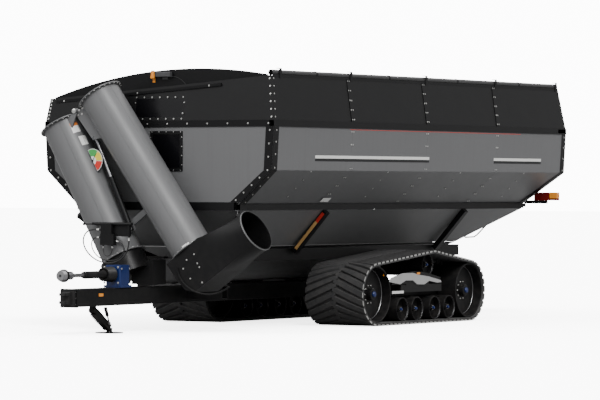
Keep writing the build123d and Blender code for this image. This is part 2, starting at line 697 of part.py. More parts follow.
# ---- PTO line --------------------------------------------------------------------------------
def build_pto():
    """Blue gearbox on the drawbar, the guard over the telescoping shaft, and the shaft with its yoke."""
    box_x = front_x + pto_box_x
    z_seat = drawbar_z[1] + gap
    with BuildPart() as gearbox:
        box_between((box_x - 150, -150, z_seat + 40), (box_x + 130, 150, pto_z + 150))
        fillet(gearbox.edges().filter_by(Axis.Z), radius=30)
        box_between((box_x - 170, -170, z_seat), (box_x + 150, 170, z_seat + 40))
        rod((box_x + 125, 0, pto_z), (box_x + 175, 0, pto_z), 95)
        rod((box_x + 120, 0, pto_z), (box_x + 180, 0, pto_z), 32 + fit, mode=Mode.SUBTRACT)
    save(gearbox, "pto_gearbox")
    bell_x, tip_x = box_x + 175 + gap, front_x + pto_tip_x
    with BuildPart() as guard:
        with BuildSketch(Plane.XZ):
            with BuildLine():
                Polyline((bell_x, pto_z + 105), (bell_x + 90, pto_z + 105), (bell_x + 260, pto_z + 62),
                         (bell_x + 760, pto_z + 62), (bell_x + 760, pto_z + 54), (bell_x + 800, pto_z + 54),
                         (bell_x + 800, pto_z + 44), (bell_x, pto_z + 44), close=True)
            make_face()
        revolve(axis=Axis((0, 0, pto_z), (1, 0, 0)))
    save(guard, "pto_guard")
    with BuildPart() as shaft:
        rod((box_x + 122, 0, pto_z), (tip_x - 300, 0, pto_z), 32)
        for offset in (0, 1):
            start = tip_x - 300 + 150 * offset
            rod((start, 0, pto_z), (start + 70, 0, pto_z), 68)
        rod((tip_x - 230, 0, pto_z), (tip_x - 150, 0, pto_z), 46)
        rod((tip_x - 80, 0, pto_z), (tip_x, 0, pto_z), 78)
        rod((tip_x - 60, 0, pto_z), (tip_x + 1, 0, pto_z), 22.2, mode=Mode.SUBTRACT)
    save(shaft, "pto_shaft")


# ---- Floor auger -----------------------------------------------------------------------------
def screw(start, direction, length, outer, core, pitch, thickness):
    """Adds a single helical flight around a shaft, made as a blade turned steadily along the axis."""
    plane = Plane(origin=start, z_dir=direction)
    with BuildSketch(plane, mode=Mode.PRIVATE) as blade:
        with Locations(((outer + core - 6) / 2, 0)):
            Rectangle(outer - core + 6, thickness)
    turned = Solid.extrude_linear_with_rotation(
        blade.sketch.faces()[0], start, plane.z_dir * length, 360.0 * length / pitch)
    add(turned)


def build_floor_auger():
    """U-shaped trough with closed ends, the floor screw inside it and the flow gate above it."""
    rear_low = slope_rear_x(rail_top_z) + funnel_rear_run
    front_end = auger_x - tube_radius - 40.0
    with BuildPart() as trough:
        with BuildSketch(Plane.YZ.offset(rear_low)):
            with Locations((0, trough_z)):
                Circle(floor_trough_radius + sheet)
                Circle(floor_trough_radius, mode=Mode.SUBTRACT)
                with Locations((0, 300)):
                    Rectangle(800, 600, mode=Mode.SUBTRACT)
            with Locations((floor_trough_radius + sheet / 2, trough_z + feed_rise / 2),
                           (-floor_trough_radius - sheet / 2, trough_z + feed_rise / 2)):
                Rectangle(sheet, feed_rise)
        extrude(amount=front_end - rear_low)
        box_between((rear_low - sheet, -floor_trough_radius - sheet, trough_z - floor_trough_radius - sheet),
                    (rear_low, floor_trough_radius + sheet, trough_z + 100))
        cover_x, half = front_x - funnel_front_run + 2, floor_trough_radius + sheet
        box_between((cover_x, -half, trough_z + trough_cover - sheet), (front_end, half, trough_z + trough_cover))
        for side in (-1, 1):
            y_low, y_high = sorted((side * half, side * (half - sheet)))
            box_between((cover_x, y_low, feed_z - 1), (front_end, y_high, trough_z + trough_cover))
        rod((rear_low - 60, 0, trough_z), (rear_low, 0, trough_z), 80)
        rod((rear_low - 62, 0, trough_z), (rear_low + 1, 0, trough_z), floor_shaft_radius + fit,
            mode=Mode.SUBTRACT)
    save(trough, "floor_trough")
    with BuildPart() as floor_screw:
        rod((rear_low - 60, 0, trough_z), (front_end - 10, 0, trough_z), floor_shaft_radius)
        screw(Vector(rear_low + 30, 0, trough_z), Vector(1, 0, 0), front_end - rear_low - 80,
              floor_screw_radius, floor_shaft_radius, 700.0, 14.0)
    save(floor_screw, "floor_screw")


# ---- Side auger ------------------------------------------------------------------------------
def build_lower_tube():
    """Fixed auger tube with end flanges, formed creases, hinge lugs, cradle and sump housing."""
    top_plane = across_plane(low_top, low_dir)
    with BuildPart() as tube:
        with BuildSketch(across_plane(low_base, low_dir)):
            Circle(tube_radius)
        extrude(amount=lower_tube_length)
        for point, shift in ((low_base, 0.0), (low_top, -flange_thickness)):
            with BuildSketch(across_plane(yz_point(point, shift, low_dir), low_dir)):
                Circle(flange_radius)
            extrude(amount=flange_thickness)
        for x in (auger_x - 230, auger_x + 200):
            lug = [yz_point(low_top, -260, low_dir, 120 - tube_radius),
                   yz_point(low_top, -40, low_dir, 120 - tube_radius),
                   yz_point(low_top, -20, low_dir, -hinge_arm + 10),
                   yz_point(low_top, -60, low_dir, -hinge_arm - 20)]
            with BuildSketch(Plane.YZ.offset(x)):
                with BuildLine():
                    Polyline(*lug, close=True)
                make_face()
            extrude(amount=30)
            rod((x, hinge_y, hinge_z), (x + 30, hinge_y, hinge_z), 46)
            rod((x - 1, hinge_y, hinge_z), (x + 31, hinge_y, hinge_z), hinge_pin_radius + fit,
                mode=Mode.SUBTRACT)
        cradle_foot = yz_point(low_top, -cradle_along, low_dir, 6 - tube_radius)
        away = (up_top[0] - cradle_foot[0], up_top[1] - cradle_foot[1])
        square = away[0] * up_dir[1] - away[1] * up_dir[0]
        cradle_head = yz_point(cradle_foot, 0, up_dir, tube_radius + 2 * gap - abs(square))
        bar((auger_x, *cradle_foot), (auger_x, *cradle_head), 100, 70, up=(1, 0, 0))
        lug_foot = yz_point(low_top, -fold_foot_along + 20, low_dir, 60 - tube_radius)
        lug_head = yz_point(low_top, -fold_foot_along + 20, low_dir, -fold_foot_across - 50)
        for x in (auger_x + fold_offset - fold_lug_half, auger_x + fold_offset + fold_lug_half):
            bar((x, *lug_foot), (x, *lug_head), 90, fold_lug, up=(1, 0, 0))
        with BuildSketch(across_plane(yz_point(low_base, -1, low_dir), low_dir)):
            Circle(tube_radius - tube_wall)
        extrude(amount=lower_tube_length + 2, mode=Mode.SUBTRACT)
    save(tube, "lower_tube")


def build_sump():
    """Housing that turns the grain from the floor trough up into the lower tube."""
    foot = yz_point(low_base, -sump_depth, low_dir)
    back_x = auger_x - tube_radius - 40.0 + gap
    half_z, half_y = floor_trough_radius + sheet, floor_trough_radius + sheet
    with BuildPart() as sump:
        with BuildSketch(across_plane(foot, low_dir)):
            Circle(tube_radius + 8)
        extrude(amount=sump_depth - gap)
        box_between((back_x, -half_y, trough_z - half_z), (auger_x, half_y, trough_z + trough_cover))
        with BuildSketch(across_plane(yz_point(foot, sheet, low_dir), low_dir)):
            Circle(tube_radius + 2)
        extrude(amount=sump_depth, mode=Mode.SUBTRACT)
        box_between((back_x - 1, sheet - half_y, trough_z - half_z + sheet),
                    (auger_x - sheet, half_y - sheet, trough_z + trough_cover - sheet),
                    mode=Mode.SUBTRACT)
    save(sump, "sump_housing")


def build_fold_cylinder():
    """Fold cylinder between the two tubes, and its rod, which ends just short of the bracket's pin."""
    start = yz_point(low_top, -fold_foot_along, low_dir, -fold_foot_across)
    pin = yz_point(up_top, -fold_pin_along, up_dir, fold_pin_across)
    x = auger_x + fold_offset
    reach = hypot(pin[0] - start[0], pin[1] - start[1])
    direction = ((pin[0] - start[0]) / reach, (pin[1] - start[1]) / reach)
    body_end = yz_point(start, 960.0, direction)
    rod_end = yz_point(start, reach - fold_pin_radius - 12.0, direction)
    with BuildPart() as cylinder:
        rod((x, *start), (x, *body_end), fold_cylinder_radius)
        rod((x, *yz_point(start, 60, direction)), (x, *yz_point(body_end, 1, direction)),
            fold_rod_radius + fit, mode=Mode.SUBTRACT)
        pin_half = fold_lug_half - fold_lug / 2 - gap
        rod((x - pin_half, *start), (x + pin_half, *start), fold_pin_radius)
    save(cylinder, "fold_cylinder")
    with BuildPart() as piston:
        rod((x, *yz_point(body_end, -300, direction)), (x, *rod_end), fold_rod_radius)
    save(piston, "fold_rod")


def build_jack_cylinder(leg_pivot, ankle):
    """The small cylinder beside the jack leg and its rod."""
    head = (leg_pivot[0] - 225.0, leg_pivot[1] + 35.0)
    reach = hypot(ankle[0] - leg_pivot[0], ankle[1] - leg_pivot[1])
    foot = (leg_pivot[0] + jack_foot_along * (ankle[0] - leg_pivot[0]) / reach,
            leg_pivot[1] + jack_foot_along * (ankle[1] - leg_pivot[1]) / reach)
    length = hypot(foot[0] - head[0], foot[1] - head[1])
    along = ((foot[0] - head[0]) / length, (foot[1] - head[1]) / length)

    def point(distance):
        return (head[0] + along[0] * distance, jack_cylinder_y, head[1] + along[1] * distance)

    with BuildPart() as cylinder:
        rod(point(0), point(barrel_length), 28)
        rod(point(24), point(barrel_length + 1), 13 + fit, mode=Mode.SUBTRACT)
    save(cylinder, "jack_cylinder")
    with BuildPart() as piston:
        rod(point(barrel_length - 25), point(length - 8), 13)
        rod(point(length - 44), point(length - 8), jack_eye_radius)
    save(piston, "jack_rod")


def build_flow_gate():
    """Sliding gate over the front of the floor trough, with its pull tab."""
    high_x = front_x - funnel_front_run - 30.0
    z_low = trough_z + floor_screw_radius + 10.0
    half = feed_half_at(z_low) - 3 * sheet - 4 * gap
    with BuildPart() as gate:
        box_between((high_x - gate_length, -half, z_low), (high_x, half, z_low + sheet))
        box_between((high_x - gate_length, -30, z_low), (high_x - gate_length + 8, 30, z_low + 60))
    save(gate, "flow_gate")


def build_upper_tube():
    """Folding auger tube with end flanges, hinge bracket and its strongback."""
    with BuildPart() as tube:
        with BuildSketch(across_plane(up_end, up_dir)):
            Circle(tube_radius)
        extrude(amount=upper_tube_length)
        for point, shift in ((up_end, 0.0), (up_top, -flange_thickness)):
            with BuildSketch(across_plane(yz_point(point, shift, up_dir), up_dir)):
                Circle(flange_radius)
            extrude(amount=flange_thickness)
        for x in (auger_x - 190, auger_x + 160):
            lug = [yz_point(up_top, -700, up_dir, tube_radius - 120),
                   yz_point(up_top, -40, up_dir, tube_radius - 120),
                   yz_point(up_top, -20, up_dir, hinge_arm - 10),
                   yz_point(up_top, -60, up_dir, hinge_arm + 30),
                   yz_point(up_top, -600, up_dir, hinge_arm)]
            with BuildSketch(Plane.YZ.offset(x)):
                with BuildLine():
                    Polyline(*lug, close=True)
                make_face()
            extrude(amount=30)
            rod((x, hinge_y, hinge_z), (x + 30, hinge_y, hinge_z), 46)
        rod((auger_x - 240, hinge_y, hinge_z), (auger_x + 240, hinge_y, hinge_z), hinge_pin_radius)
        fold_pin = yz_point(up_top, -fold_pin_along, up_dir, fold_pin_across)
        rod((auger_x - 200, *fold_pin), (auger_x + 200, *fold_pin), fold_pin_radius)
        with BuildSketch(across_plane(yz_point(up_end, -1, up_dir), up_dir)):
            Circle(tube_radius - tube_wall)
        extrude(amount=upper_tube_length + 2, mode=Mode.SUBTRACT)
    save(tube, "upper_tube")


def build_tube_screws():
    """The screws inside both auger tubes, each on its own shaft."""
    low_start = yz_point(low_base, -200, low_dir)
    length = lower_tube_length + 180
    with BuildPart() as lower:
        end = yz_point(low_start, length, low_dir)
        rod((auger_x, *low_start), (auger_x, *end), shaft_radius)
        screw(Vector(auger_x, *low_start), Vector(0, *low_dir), length, screw_radius, shaft_radius,
              screw_pitch, 14.0)
    save(lower, "lower_screw")
    up_start = yz_point(up_end, 10, up_dir)
    length = upper_tube_length - 60
    with BuildPart() as upper:
        end = yz_point(up_start, length, up_dir)
        rod((auger_x, *yz_point(up_end, -330, up_dir)), (auger_x, *end), shaft_radius)
        screw(Vector(auger_x, *up_start), Vector(0, *up_dir), length, screw_radius, shaft_radius,
              screw_pitch, 14.0)
    save(upper, "upper_screw")


def hood_point(along, across):
    """A (y, z) point in the spout's own directions from the middle of the boot."""
    return yz_point(boot_centre, along, hood_dir, across)


def build_boot():
    """Discharge boot: a flat-sided box elbow, open to the tube and to the hood."""
    start = yz_point(up_end, -gap, up_dir)
    outline = [yz_point(start, 0, up_dir, flange_radius - 40), yz_point(start, -300, up_dir, 360),
               (boot_centre[0] - 120, boot_centre[1] - 370), (boot_centre[0] + 60, boot_centre[1] - 400),
               hood_point(hood_start - gap, gap - hood_half), hood_point(hood_start - gap, hood_half - gap),
               yz_point(start, 0, up_dir, -flange_radius + 40)]
    with BuildPart() as boot:
        with BuildSketch(Plane.YZ.offset(auger_x - boot_half)):
            with BuildLine():
                Polyline(*outline, close=True)
            make_face()
        extrude(amount=2 * boot_half)
        tube_face = boot.faces().sort_by_distance((auger_x, *start))[0]
        seam_face = boot.faces().sort_by_distance((auger_x, *hood_point(hood_start, 0)))[0]
        offset(amount=-sheet, openings=[tube_face, seam_face])
    save(boot, "discharge_boot")


def hood_square(along, half_width, half_height):
    """A rectangle square to the spout's line, a distance along it."""
    with BuildSketch(across_plane(hood_point(along, 0), hood_dir)) as square:
        Rectangle(2 * half_width, 2 * half_height)
    return square.sketch


def hood_ring(along, radius):
    """A circle square to the spout's line, a distance along it."""
    with BuildSketch(across_plane(hood_point(along, 0), hood_dir)) as ring:
        Circle(radius)
    return ring.sketch


def build_hood():
    """Spout hood, square at the boot and round at its mouth, hinged at its top edge."""
    with BuildPart() as inside:
        loft(sections=[hood_square(hood_start - 1, boot_half - 2, hood_half - sheet - 2),
                       hood_ring(hood_end + 1, mouth_radius - 8)])
    with BuildPart() as hood:
        loft(sections=[hood_square(hood_start + gap, boot_half + 6, hood_half),
                       hood_ring(hood_end, mouth_radius)])
        add(inside.part, mode=Mode.SUBTRACT)
    save(hood, "spout_hood")


# ---- Hoses -----------------------------------------------------------------------------------
hose_x = front_x + 900.0
rack_x = front_x + 925.0
hose_a_diameter = 24.0
hose_b_diameter = 20.0
harness_diameter = 14.0
hose_a_points = [
    (hose_x, 40, 1560), (hose_x + 12, 48, 1420), (hose_x + 35, -10, 1265), (hose_x + 60, -140, 1165),
    (hose_x + 72, -320, 1130), (hose_x + 70, -505, 1160), (hose_x + 60, -680, 1240),
    (hose_x + 48, -820, 1375), (hose_x + 36, -868, 1530), (hose_x + 30, -800, 1655),
    (hose_x + 25, -675, 1696), (hose_x + 25, -540, 1690)]
hose_b_points = [
    (rack_x, -190, 1500), (rack_x + 6, -95, 1482), (rack_x + 10, -25, 1395), (rack_x + 16, -50, 1272),
    (rack_x + 22, -160, 1192), (rack_x + 26, -320, 1172), (rack_x + 22, -480, 1200),
    (rack_x + 14, -615, 1285), (rack_x + 8, -690, 1400), (rack_x + 4, -690, 1505),
    (rack_x + 2, -630, 1560), (rack_x, -540, 1560)]
harness_points = [
    (rack_x + 12, -450, 1415), (rack_x + 14, -456, 1345), (rack_x + 16, -428, 1272), (rack_x + 18, -358, 1244),
    (rack_x + 16, -296, 1282), (rack_x + 14, -268, 1350), (rack_x + 12, -274, 1415)]


def build_hose_bar():
    """Bar that holds the hoses, its bracket to the tube, the connector rack, box, plate and glands."""
    bar_z = 1787.0
    with BuildPart() as holder:
        rod((hose_x, -640, bar_z), (hose_x, 100, bar_z), 26)
        rod((hose_x, -860, bar_z - 6), (hose_x, -630, bar_z - 6), 10)
        rod((hose_x, -880, bar_z - 6), (hose_x, -850, bar_z - 6), 22)
        box_between((auger_x + tube_radius + gap, -700, bar_z - 22), (hose_x + 10, -600, bar_z + 22))
        box_between((hose_x - 30, -500, 1615), (hose_x + 45, -285, bar_z))
        box_between((hose_x - 20, -500, 1435), (hose_x + 60, -230, 1616))
        box_between((hose_x - 30, -286, 1580), (hose_x - 20, 60, bar_z - 10))
        rod((hose_x, 40, 1560), (hose_x, 40, bar_z - 10), 18)
        rod((hose_x + 25, -540, 1690), (hose_x + 25, -490, 1690), 18)
        rod((rack_x, -190, 1500), (rack_x, -240, 1500), 16)
        rod((rack_x, -540, 1560), (rack_x, -490, 1560), 16)
        for y in (-450, -274):
            rod((rack_x + 12, y, 1415), (rack_x + 12, y, 1440), 12)
    save(holder, "hose_bar")


def corner_radii(points):
    """The largest arc at each corner of a route: 0.45 of its shorter run over the tangent of half the turn."""
    spots = [Vector(*point) for point in points]
    radii = []
    for before, at, after in zip(spots, spots[1:], spots[2:]):
        turn = radians((at - before).get_angle(after - at))
        radii.append(0.45 * min((at - before).length, (after - at).length) / tan(turn / 2))
    return radii


def build_hoses():
    """Two hydraulic hoses and a wiring harness looped below the bar, each a tube along its route."""
    routes = (("hydraulic_hose_a", hose_a_points, hose_a_diameter),
              ("hydraulic_hose_b", hose_b_points, hose_b_diameter),
              ("light_harness", harness_points, harness_diameter))
    for name, points, diameter in routes:
        radii = corner_radii(points)
        with BuildPart() as hose:
            with BuildLine() as route:
                FilletPolyline(*points, radius=radii)
            with BuildSketch(Plane(origin=points[0], z_dir=Vector(*points[1]) - Vector(*points[0]))):
                Circle(diameter / 2)
            sweep()
        length = sum(edge.length for edge in route.edges())
        expected = pi * diameter ** 2 / 4 * length
        print(name, "length", round(length), "radii", [round(radius) for radius in radii],
              "volume over section times length", round(hose.part.volume / expected, 4))
        save(hose, name)


# ---- Tracks ----------------------------------------------------------------------------------
def belt_circles(thickness):
    """The circles that the belt runs round, grown by a thickness, in order round the loop."""
    return [(front_wheel_x, wheel_z, wheel_radius + thickness), (rear_wheel_x, wheel_z, wheel_radius + thickness),
            (carrier_x, carrier_z, carrier_radius + thickness)]


def belt_outline(thickness):
    """Adds the loop's area: the convex outline round the two wheels and the carrier roller."""
    circles = belt_circles(thickness)
    for x, z, radius in circles:
        with Locations((x, z)):
            Circle(radius)
    for first, second in zip(circles, circles[1:] + circles[:1]):
        dx, dz = second[0] - first[0], second[1] - first[1]
        span = hypot(dx, dz)
        turn = atan2(dz, dx) + acos((first[2] - second[2]) / span)
        turn_low = atan2(dz, dx) - acos((first[2] - second[2]) / span)
        points = [(c[0] + c[2] * cos(a), c[1] + c[2] * sin(a))
                  for c, a in ((first, turn), (first, turn_low), (second, turn_low), (second, turn))]
        Polygon(*points, align=None)


def build_belt(side, name):
    """Rubber belt round the wheels, at full thickness over the lugs."""
    width = track_outer - track_inner
    with BuildPart() as belt:
        with BuildSketch(Plane.XZ.offset(-side * track_mid + width / 2)) as loop:
            belt_outline(belt_thickness)
        with BuildSketch(Plane.XZ.offset(-side * track_mid + width / 2)) as hole:
            belt_outline(gap)
        extrude(loop.sketch, amount=-width)
        extrude(hole.sketch, amount=-width, mode=Mode.SUBTRACT)
    save(belt, name)


def xz_disc(x, z, radius, y_from, y_to, mode=Mode.ADD):
    """Adds a round disc about a line along Y, from one Y to another."""
    rod((x, y_from, z), (x, y_to, z), radius, mode=mode)


def build_wheel(side, name, x, z, radius, dish, rim_wall, inset=wheel_face_inset):
    """One axle with an outer and an inner wheel, each a rim with a dished plate, and hub caps."""
    face, inner_end = track_outer - inset, track_inner + inset
    width = wheel_width + wheel_face_inset - inset
    with BuildPart() as wheel:
        for outer_face, inner_face, sign in (
                (face, face - width, 1), (inner_end, inner_end + width, -1)):
            xz_disc(x, z, radius, side * inner_face, side * outer_face)
            xz_disc(x, z, radius - rim_wall, side * (outer_face - sign * dish), side * outer_face,
                    mode=Mode.SUBTRACT)
            back = inner_face + sign * (width - dish - web_thickness)
            xz_disc(x, z, radius - rim_wall, side * inner_face, side * back, mode=Mode.SUBTRACT)
            xz_disc(x, z, radius * 0.22, side * (outer_face - sign * dish),
                    side * (outer_face - sign * dish * 0.45))
        xz_disc(x, z, axle_radius, side * (inner_end + dish * 0.5), side * (face - dish * 0.5))
    save(wheel, name)


def build_track_frame(side, name):
    """Track frame: middle beam with the axle bores, roller arms, carrier post, side arm and cover."""
    half = 110.0
    y_in, y_out = track_mid - half, track_mid + half
    with BuildPart() as frame:
        box_between((rear_wheel_x - 120, y_in, wheel_z - 70), (front_wheel_x + 120, y_out, wheel_z + 180))
        for x in roller_xs:
            box_between((x - 90, y_in + 30, roller_z - 80), (x + 90, y_out - 30, wheel_z - 60))
        box_between((carrier_x - 70, y_in + 20, wheel_z + 170), (carrier_x + 70, y_out - 20, carrier_z + 75))
        for x, z, radius in ((front_wheel_x, wheel_z, axle_radius), (rear_wheel_x, wheel_z, axle_radius),
                             (carrier_x, carrier_z, axle_radius)):
            xz_disc(x, z, radius + fit, y_in - 1, y_out + 1, mode=Mode.SUBTRACT)
        for x in roller_xs:
            xz_disc(x, roller_z, axle_radius + fit, y_in - 1, y_out + 1, mode=Mode.SUBTRACT)
        xz_disc(pivot_x, pivot_z, pivot_radius + fit, y_in - 1, y_out + 1, mode=Mode.SUBTRACT)
        for x in (pivot_x + 560, pivot_x - 640):
            box_between((x - 60, y_out - 1, 560), (x + 60, track_outer - 130, 690))
        box_between((pivot_x - 760, track_outer - 230, 560), (pivot_x + 680, track_outer - 110, 690))
        wing = [(pivot_x + 1010, 700), (pivot_x + 880, 850), (pivot_x + 250, 925), (pivot_x - 120, 905),
                (pivot_x - 460, 850), (pivot_x - 740, 800), (pivot_x - 700, 760), (pivot_x - 330, 760),
                (pivot_x - 60, 700), (pivot_x + 200, 740), (pivot_x + 620, 700)]
        with BuildSketch(Plane.XZ.offset(-(track_outer - 108))) as cover:
            with BuildLine():
                Polyline(*wing, close=True)
            make_face()
        extrude(cover.sketch, amount=26)
        box_between((pivot_x - 300, track_outer - 125, 650), (pivot_x + 500, track_outer - 108, 780))
    piece = frame.part if side > 0 else mirrored(frame.part)
    piece.label = name
    export_step(piece, f"parts/{name}.step")


def build_tracks():
    """Both track units, each with its belt, frame, two wheel sets, four rollers and carrier."""
    for side, word in ((1, "left"), (-1, "right")):
        build_belt(side, f"belt_{word}")
        build_track_frame(side, f"track_frame_{word}")
        build_wheel(side, f"front_wheel_{word}", front_wheel_x, wheel_z, wheel_radius, 150.0, 26.0)
        build_wheel(side, f"rear_wheel_{word}", rear_wheel_x, wheel_z, wheel_radius, 150.0, 26.0)
        build_wheel(side, f"carrier_{word}", carrier_x, carrier_z, carrier_radius, 90.0, 18.0,
                    carrier_inset)
        for index, x in enumerate(roller_xs, start=1):
            build_wheel(side, f"roller_{index}_{word}", x, roller_z, roller_radius, 110.0, 18.0)


build_hopper_panels()
build_lower_hopper()
build_extension()
build_tarp_arch()
build_ring_rails()
build_seam_strips()
build_windows()
build_braces()
build_tarp()
build_lights()
build_main_frame()
build_axle()
build_drawbar()
build_jack_cylinder(*build_jack())
build_pto()
build_floor_auger()
build_lower_tube()
build_sump()
build_fold_cylinder()
build_flow_gate()
build_hose_bar()
build_hoses()
build_upper_tube()
build_tube_screws()
build_boot()
build_hood()
build_tracks()
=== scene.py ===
"""Tracked grain cart with a folding side auger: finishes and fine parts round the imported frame.

Metres, +X towards the hitch, +Y to the cart's left, +Z up, with the ground at z = 0.
"""

import json
import logging
import math
from bisect import bisect_right
from collections.abc import Callable
from dataclasses import dataclass, field
from enum import Enum

import bmesh
import bpy
from mathutils import Matrix, Vector, noise


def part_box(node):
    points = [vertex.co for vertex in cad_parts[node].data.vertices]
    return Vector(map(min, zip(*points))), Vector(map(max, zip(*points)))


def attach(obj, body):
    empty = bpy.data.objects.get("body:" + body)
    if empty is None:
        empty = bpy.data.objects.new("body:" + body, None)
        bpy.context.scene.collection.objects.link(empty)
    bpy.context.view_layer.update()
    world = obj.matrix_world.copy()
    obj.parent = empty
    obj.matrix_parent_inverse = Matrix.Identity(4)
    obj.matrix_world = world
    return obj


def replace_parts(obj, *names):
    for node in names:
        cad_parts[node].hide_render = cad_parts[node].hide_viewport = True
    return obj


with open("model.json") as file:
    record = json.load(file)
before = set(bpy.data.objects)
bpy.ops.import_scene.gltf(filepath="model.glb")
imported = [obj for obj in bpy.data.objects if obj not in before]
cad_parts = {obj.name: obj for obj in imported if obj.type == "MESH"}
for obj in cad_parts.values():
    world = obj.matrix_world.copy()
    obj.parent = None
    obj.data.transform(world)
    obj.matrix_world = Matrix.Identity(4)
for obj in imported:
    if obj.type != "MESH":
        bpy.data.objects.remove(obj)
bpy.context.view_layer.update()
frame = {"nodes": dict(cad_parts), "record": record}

LOG = logging.getLogger("grain_cart")
SIDES = (("left", 1), ("right", -1))
Triple = tuple[float, float, float]
Pair = tuple[float, float]


# ---- Shader groups ---------------------------------------------------------------------------
class Grain(Enum):
    """The fine relief that a finish has."""

    SPRAYED = "sprayed"
    BRUSHED = "brushed"
    CAST = "cast"
    WOVEN = "woven"
    MOULDED = "moulded"


class Graph:
    """Adds nodes and links to one shader or geometry tree."""

    def __init__(self, tree: bpy.types.NodeTree) -> None:
        """Keeps the tree that the nodes go into."""
        self.tree = tree

    def add(self, kind: str, **settings: object) -> bpy.types.Node:
        """Adds one node.

        Args:
            kind: the node's type name.
            settings: properties to set on it.

        Returns:
            The new node.
        """
        node = self.tree.nodes.new(kind)
        for name, value in settings.items():
            setattr(node, name, value)
        return node

    def link(self, source: bpy.types.NodeSocket, target: bpy.types.NodeSocket) -> None:
        """Joins an output to an input."""
        self.tree.links.new(source, target)

    def math(self, operation: str, first: object, second: object = 0.0,
             clamp: bool = False) -> bpy.types.NodeSocket:
        """Adds a Math node.

        Args:
            operation: the node's operation.
            first: a socket or a number.
            second: a socket or a number.
            clamp: whether the result is held between 0 and 1.

        Returns:
            The node's output.
        """
        node = self.add("ShaderNodeMath", operation=operation, use_clamp=clamp)
        for socket, value in zip(node.inputs, (first, second)):
            if isinstance(value, bpy.types.NodeSocket):
                self.link(value, socket)
            else:
                socket.default_value = value
        return node.outputs[0]

    def blend(self, factor: bpy.types.NodeSocket, first: object, second: object) -> bpy.types.NodeSocket:
        """Mixes two colours.

        Args:
            factor: the share of the second colour.
            first: a socket or an RGB colour.
            second: a socket or an RGB colour.

        Returns:
            The mixed colour.
        """
        node = self.add("ShaderNodeMix", data_type="RGBA")
        self.link(factor, node.inputs[0])
        for socket, value in zip((node.inputs[6], node.inputs[7]), (first, second)):
            if isinstance(value, bpy.types.NodeSocket):
                self.link(value, socket)
            else:
                socket.default_value = (*value, 1.0)
        return node.outputs[2]

    def noise(self, vector: bpy.types.NodeSocket, scale: object,
              detail: float = 3.0) -> bpy.types.NodeSocket:
        """Adds a noise texture and returns its value."""
        node = self.add("ShaderNodeTexNoise")
        node.inputs["Detail"].default_value = detail
        self.link(vector, node.inputs["Vector"])
        if isinstance(scale, bpy.types.NodeSocket):
            self.link(scale, node.inputs["Scale"])
        else:
            node.inputs["Scale"].default_value = scale
        return node.outputs[0]

    def stretched(self, vector: bpy.types.NodeSocket, scale: Triple) -> bpy.types.NodeSocket:
        """Scales a coordinate unevenly."""
        node = self.add("ShaderNodeMapping")
        node.inputs["Scale"].default_value = scale
        self.link(vector, node.inputs["Vector"])
        return node.outputs[0]


def new_group(name: str, inputs: dict[str, float],
              outputs: list[str]) -> tuple[Graph, bpy.types.Node, bpy.types.Node]:
    """Starts a shader node group.

    Args:
        name: the group's name.
        inputs: input names with their defaults.
        outputs: output names.

    Returns:
        The graph, its input node and its output node.
    """
    tree = bpy.data.node_groups.new(name, "ShaderNodeTree")
    for label, default in inputs.items():
        socket = tree.interface.new_socket(label, in_out="INPUT", socket_type="NodeSocketFloat")
        socket.default_value = default
    for label in outputs:
        tree.interface.new_socket(label, in_out="OUTPUT", socket_type="NodeSocketFloat")
    graph = Graph(tree)
    return graph, graph.add("NodeGroupInput"), graph.add("NodeGroupOutput")


def weathering_group() -> bpy.types.NodeTree:
    """Builds the group for cloudy paint, road dust that thickens near the ground, and rain streaks.

    Returns:
        A group with outputs Cloud, Dust and Streak.
    """
    graph, inputs, outputs = new_group("weathering", {"Cloud Size": 1.5, "Dust Height": 2.0},
                                       ["Cloud", "Dust", "Streak"])
    place = graph.add("ShaderNodeTexCoord").outputs["Object"]
    cloud = graph.noise(place, inputs.outputs["Cloud Size"], 5.0)
    parts = graph.add("ShaderNodeSeparateXYZ")
    graph.link(place, parts.inputs[0])
    height = graph.math("DIVIDE", parts.outputs["Z"], inputs.outputs["Dust Height"])
    low = graph.math("SUBTRACT", 1.0, height, clamp=True)
    facing = graph.add("ShaderNodeSeparateXYZ")
    graph.link(graph.add("ShaderNodeNewGeometry").outputs["Normal"], facing.inputs[0])
    shelf = graph.math("MULTIPLY", graph.math("MAXIMUM", facing.outputs["Z"], 0.0), 0.35)
    speckle = graph.math("SUBTRACT", graph.noise(place, 9.0, 8.0), 0.35, clamp=True)
    amount = graph.math("MULTIPLY", speckle, 2.2)
    dust = graph.math("MULTIPLY", graph.math("ADD", low, shelf), amount, clamp=True)
    lines = graph.noise(graph.stretched(place, (7.0, 7.0, 0.35)), 2.0, 4.0)
    streak = graph.math("MULTIPLY", graph.math("SUBTRACT", lines, 0.5, clamp=True), 3.0, clamp=True)
    for label, socket in (("Cloud", cloud), ("Dust", dust), ("Streak", streak)):
        graph.link(socket, outputs.inputs[label])
    return graph.tree


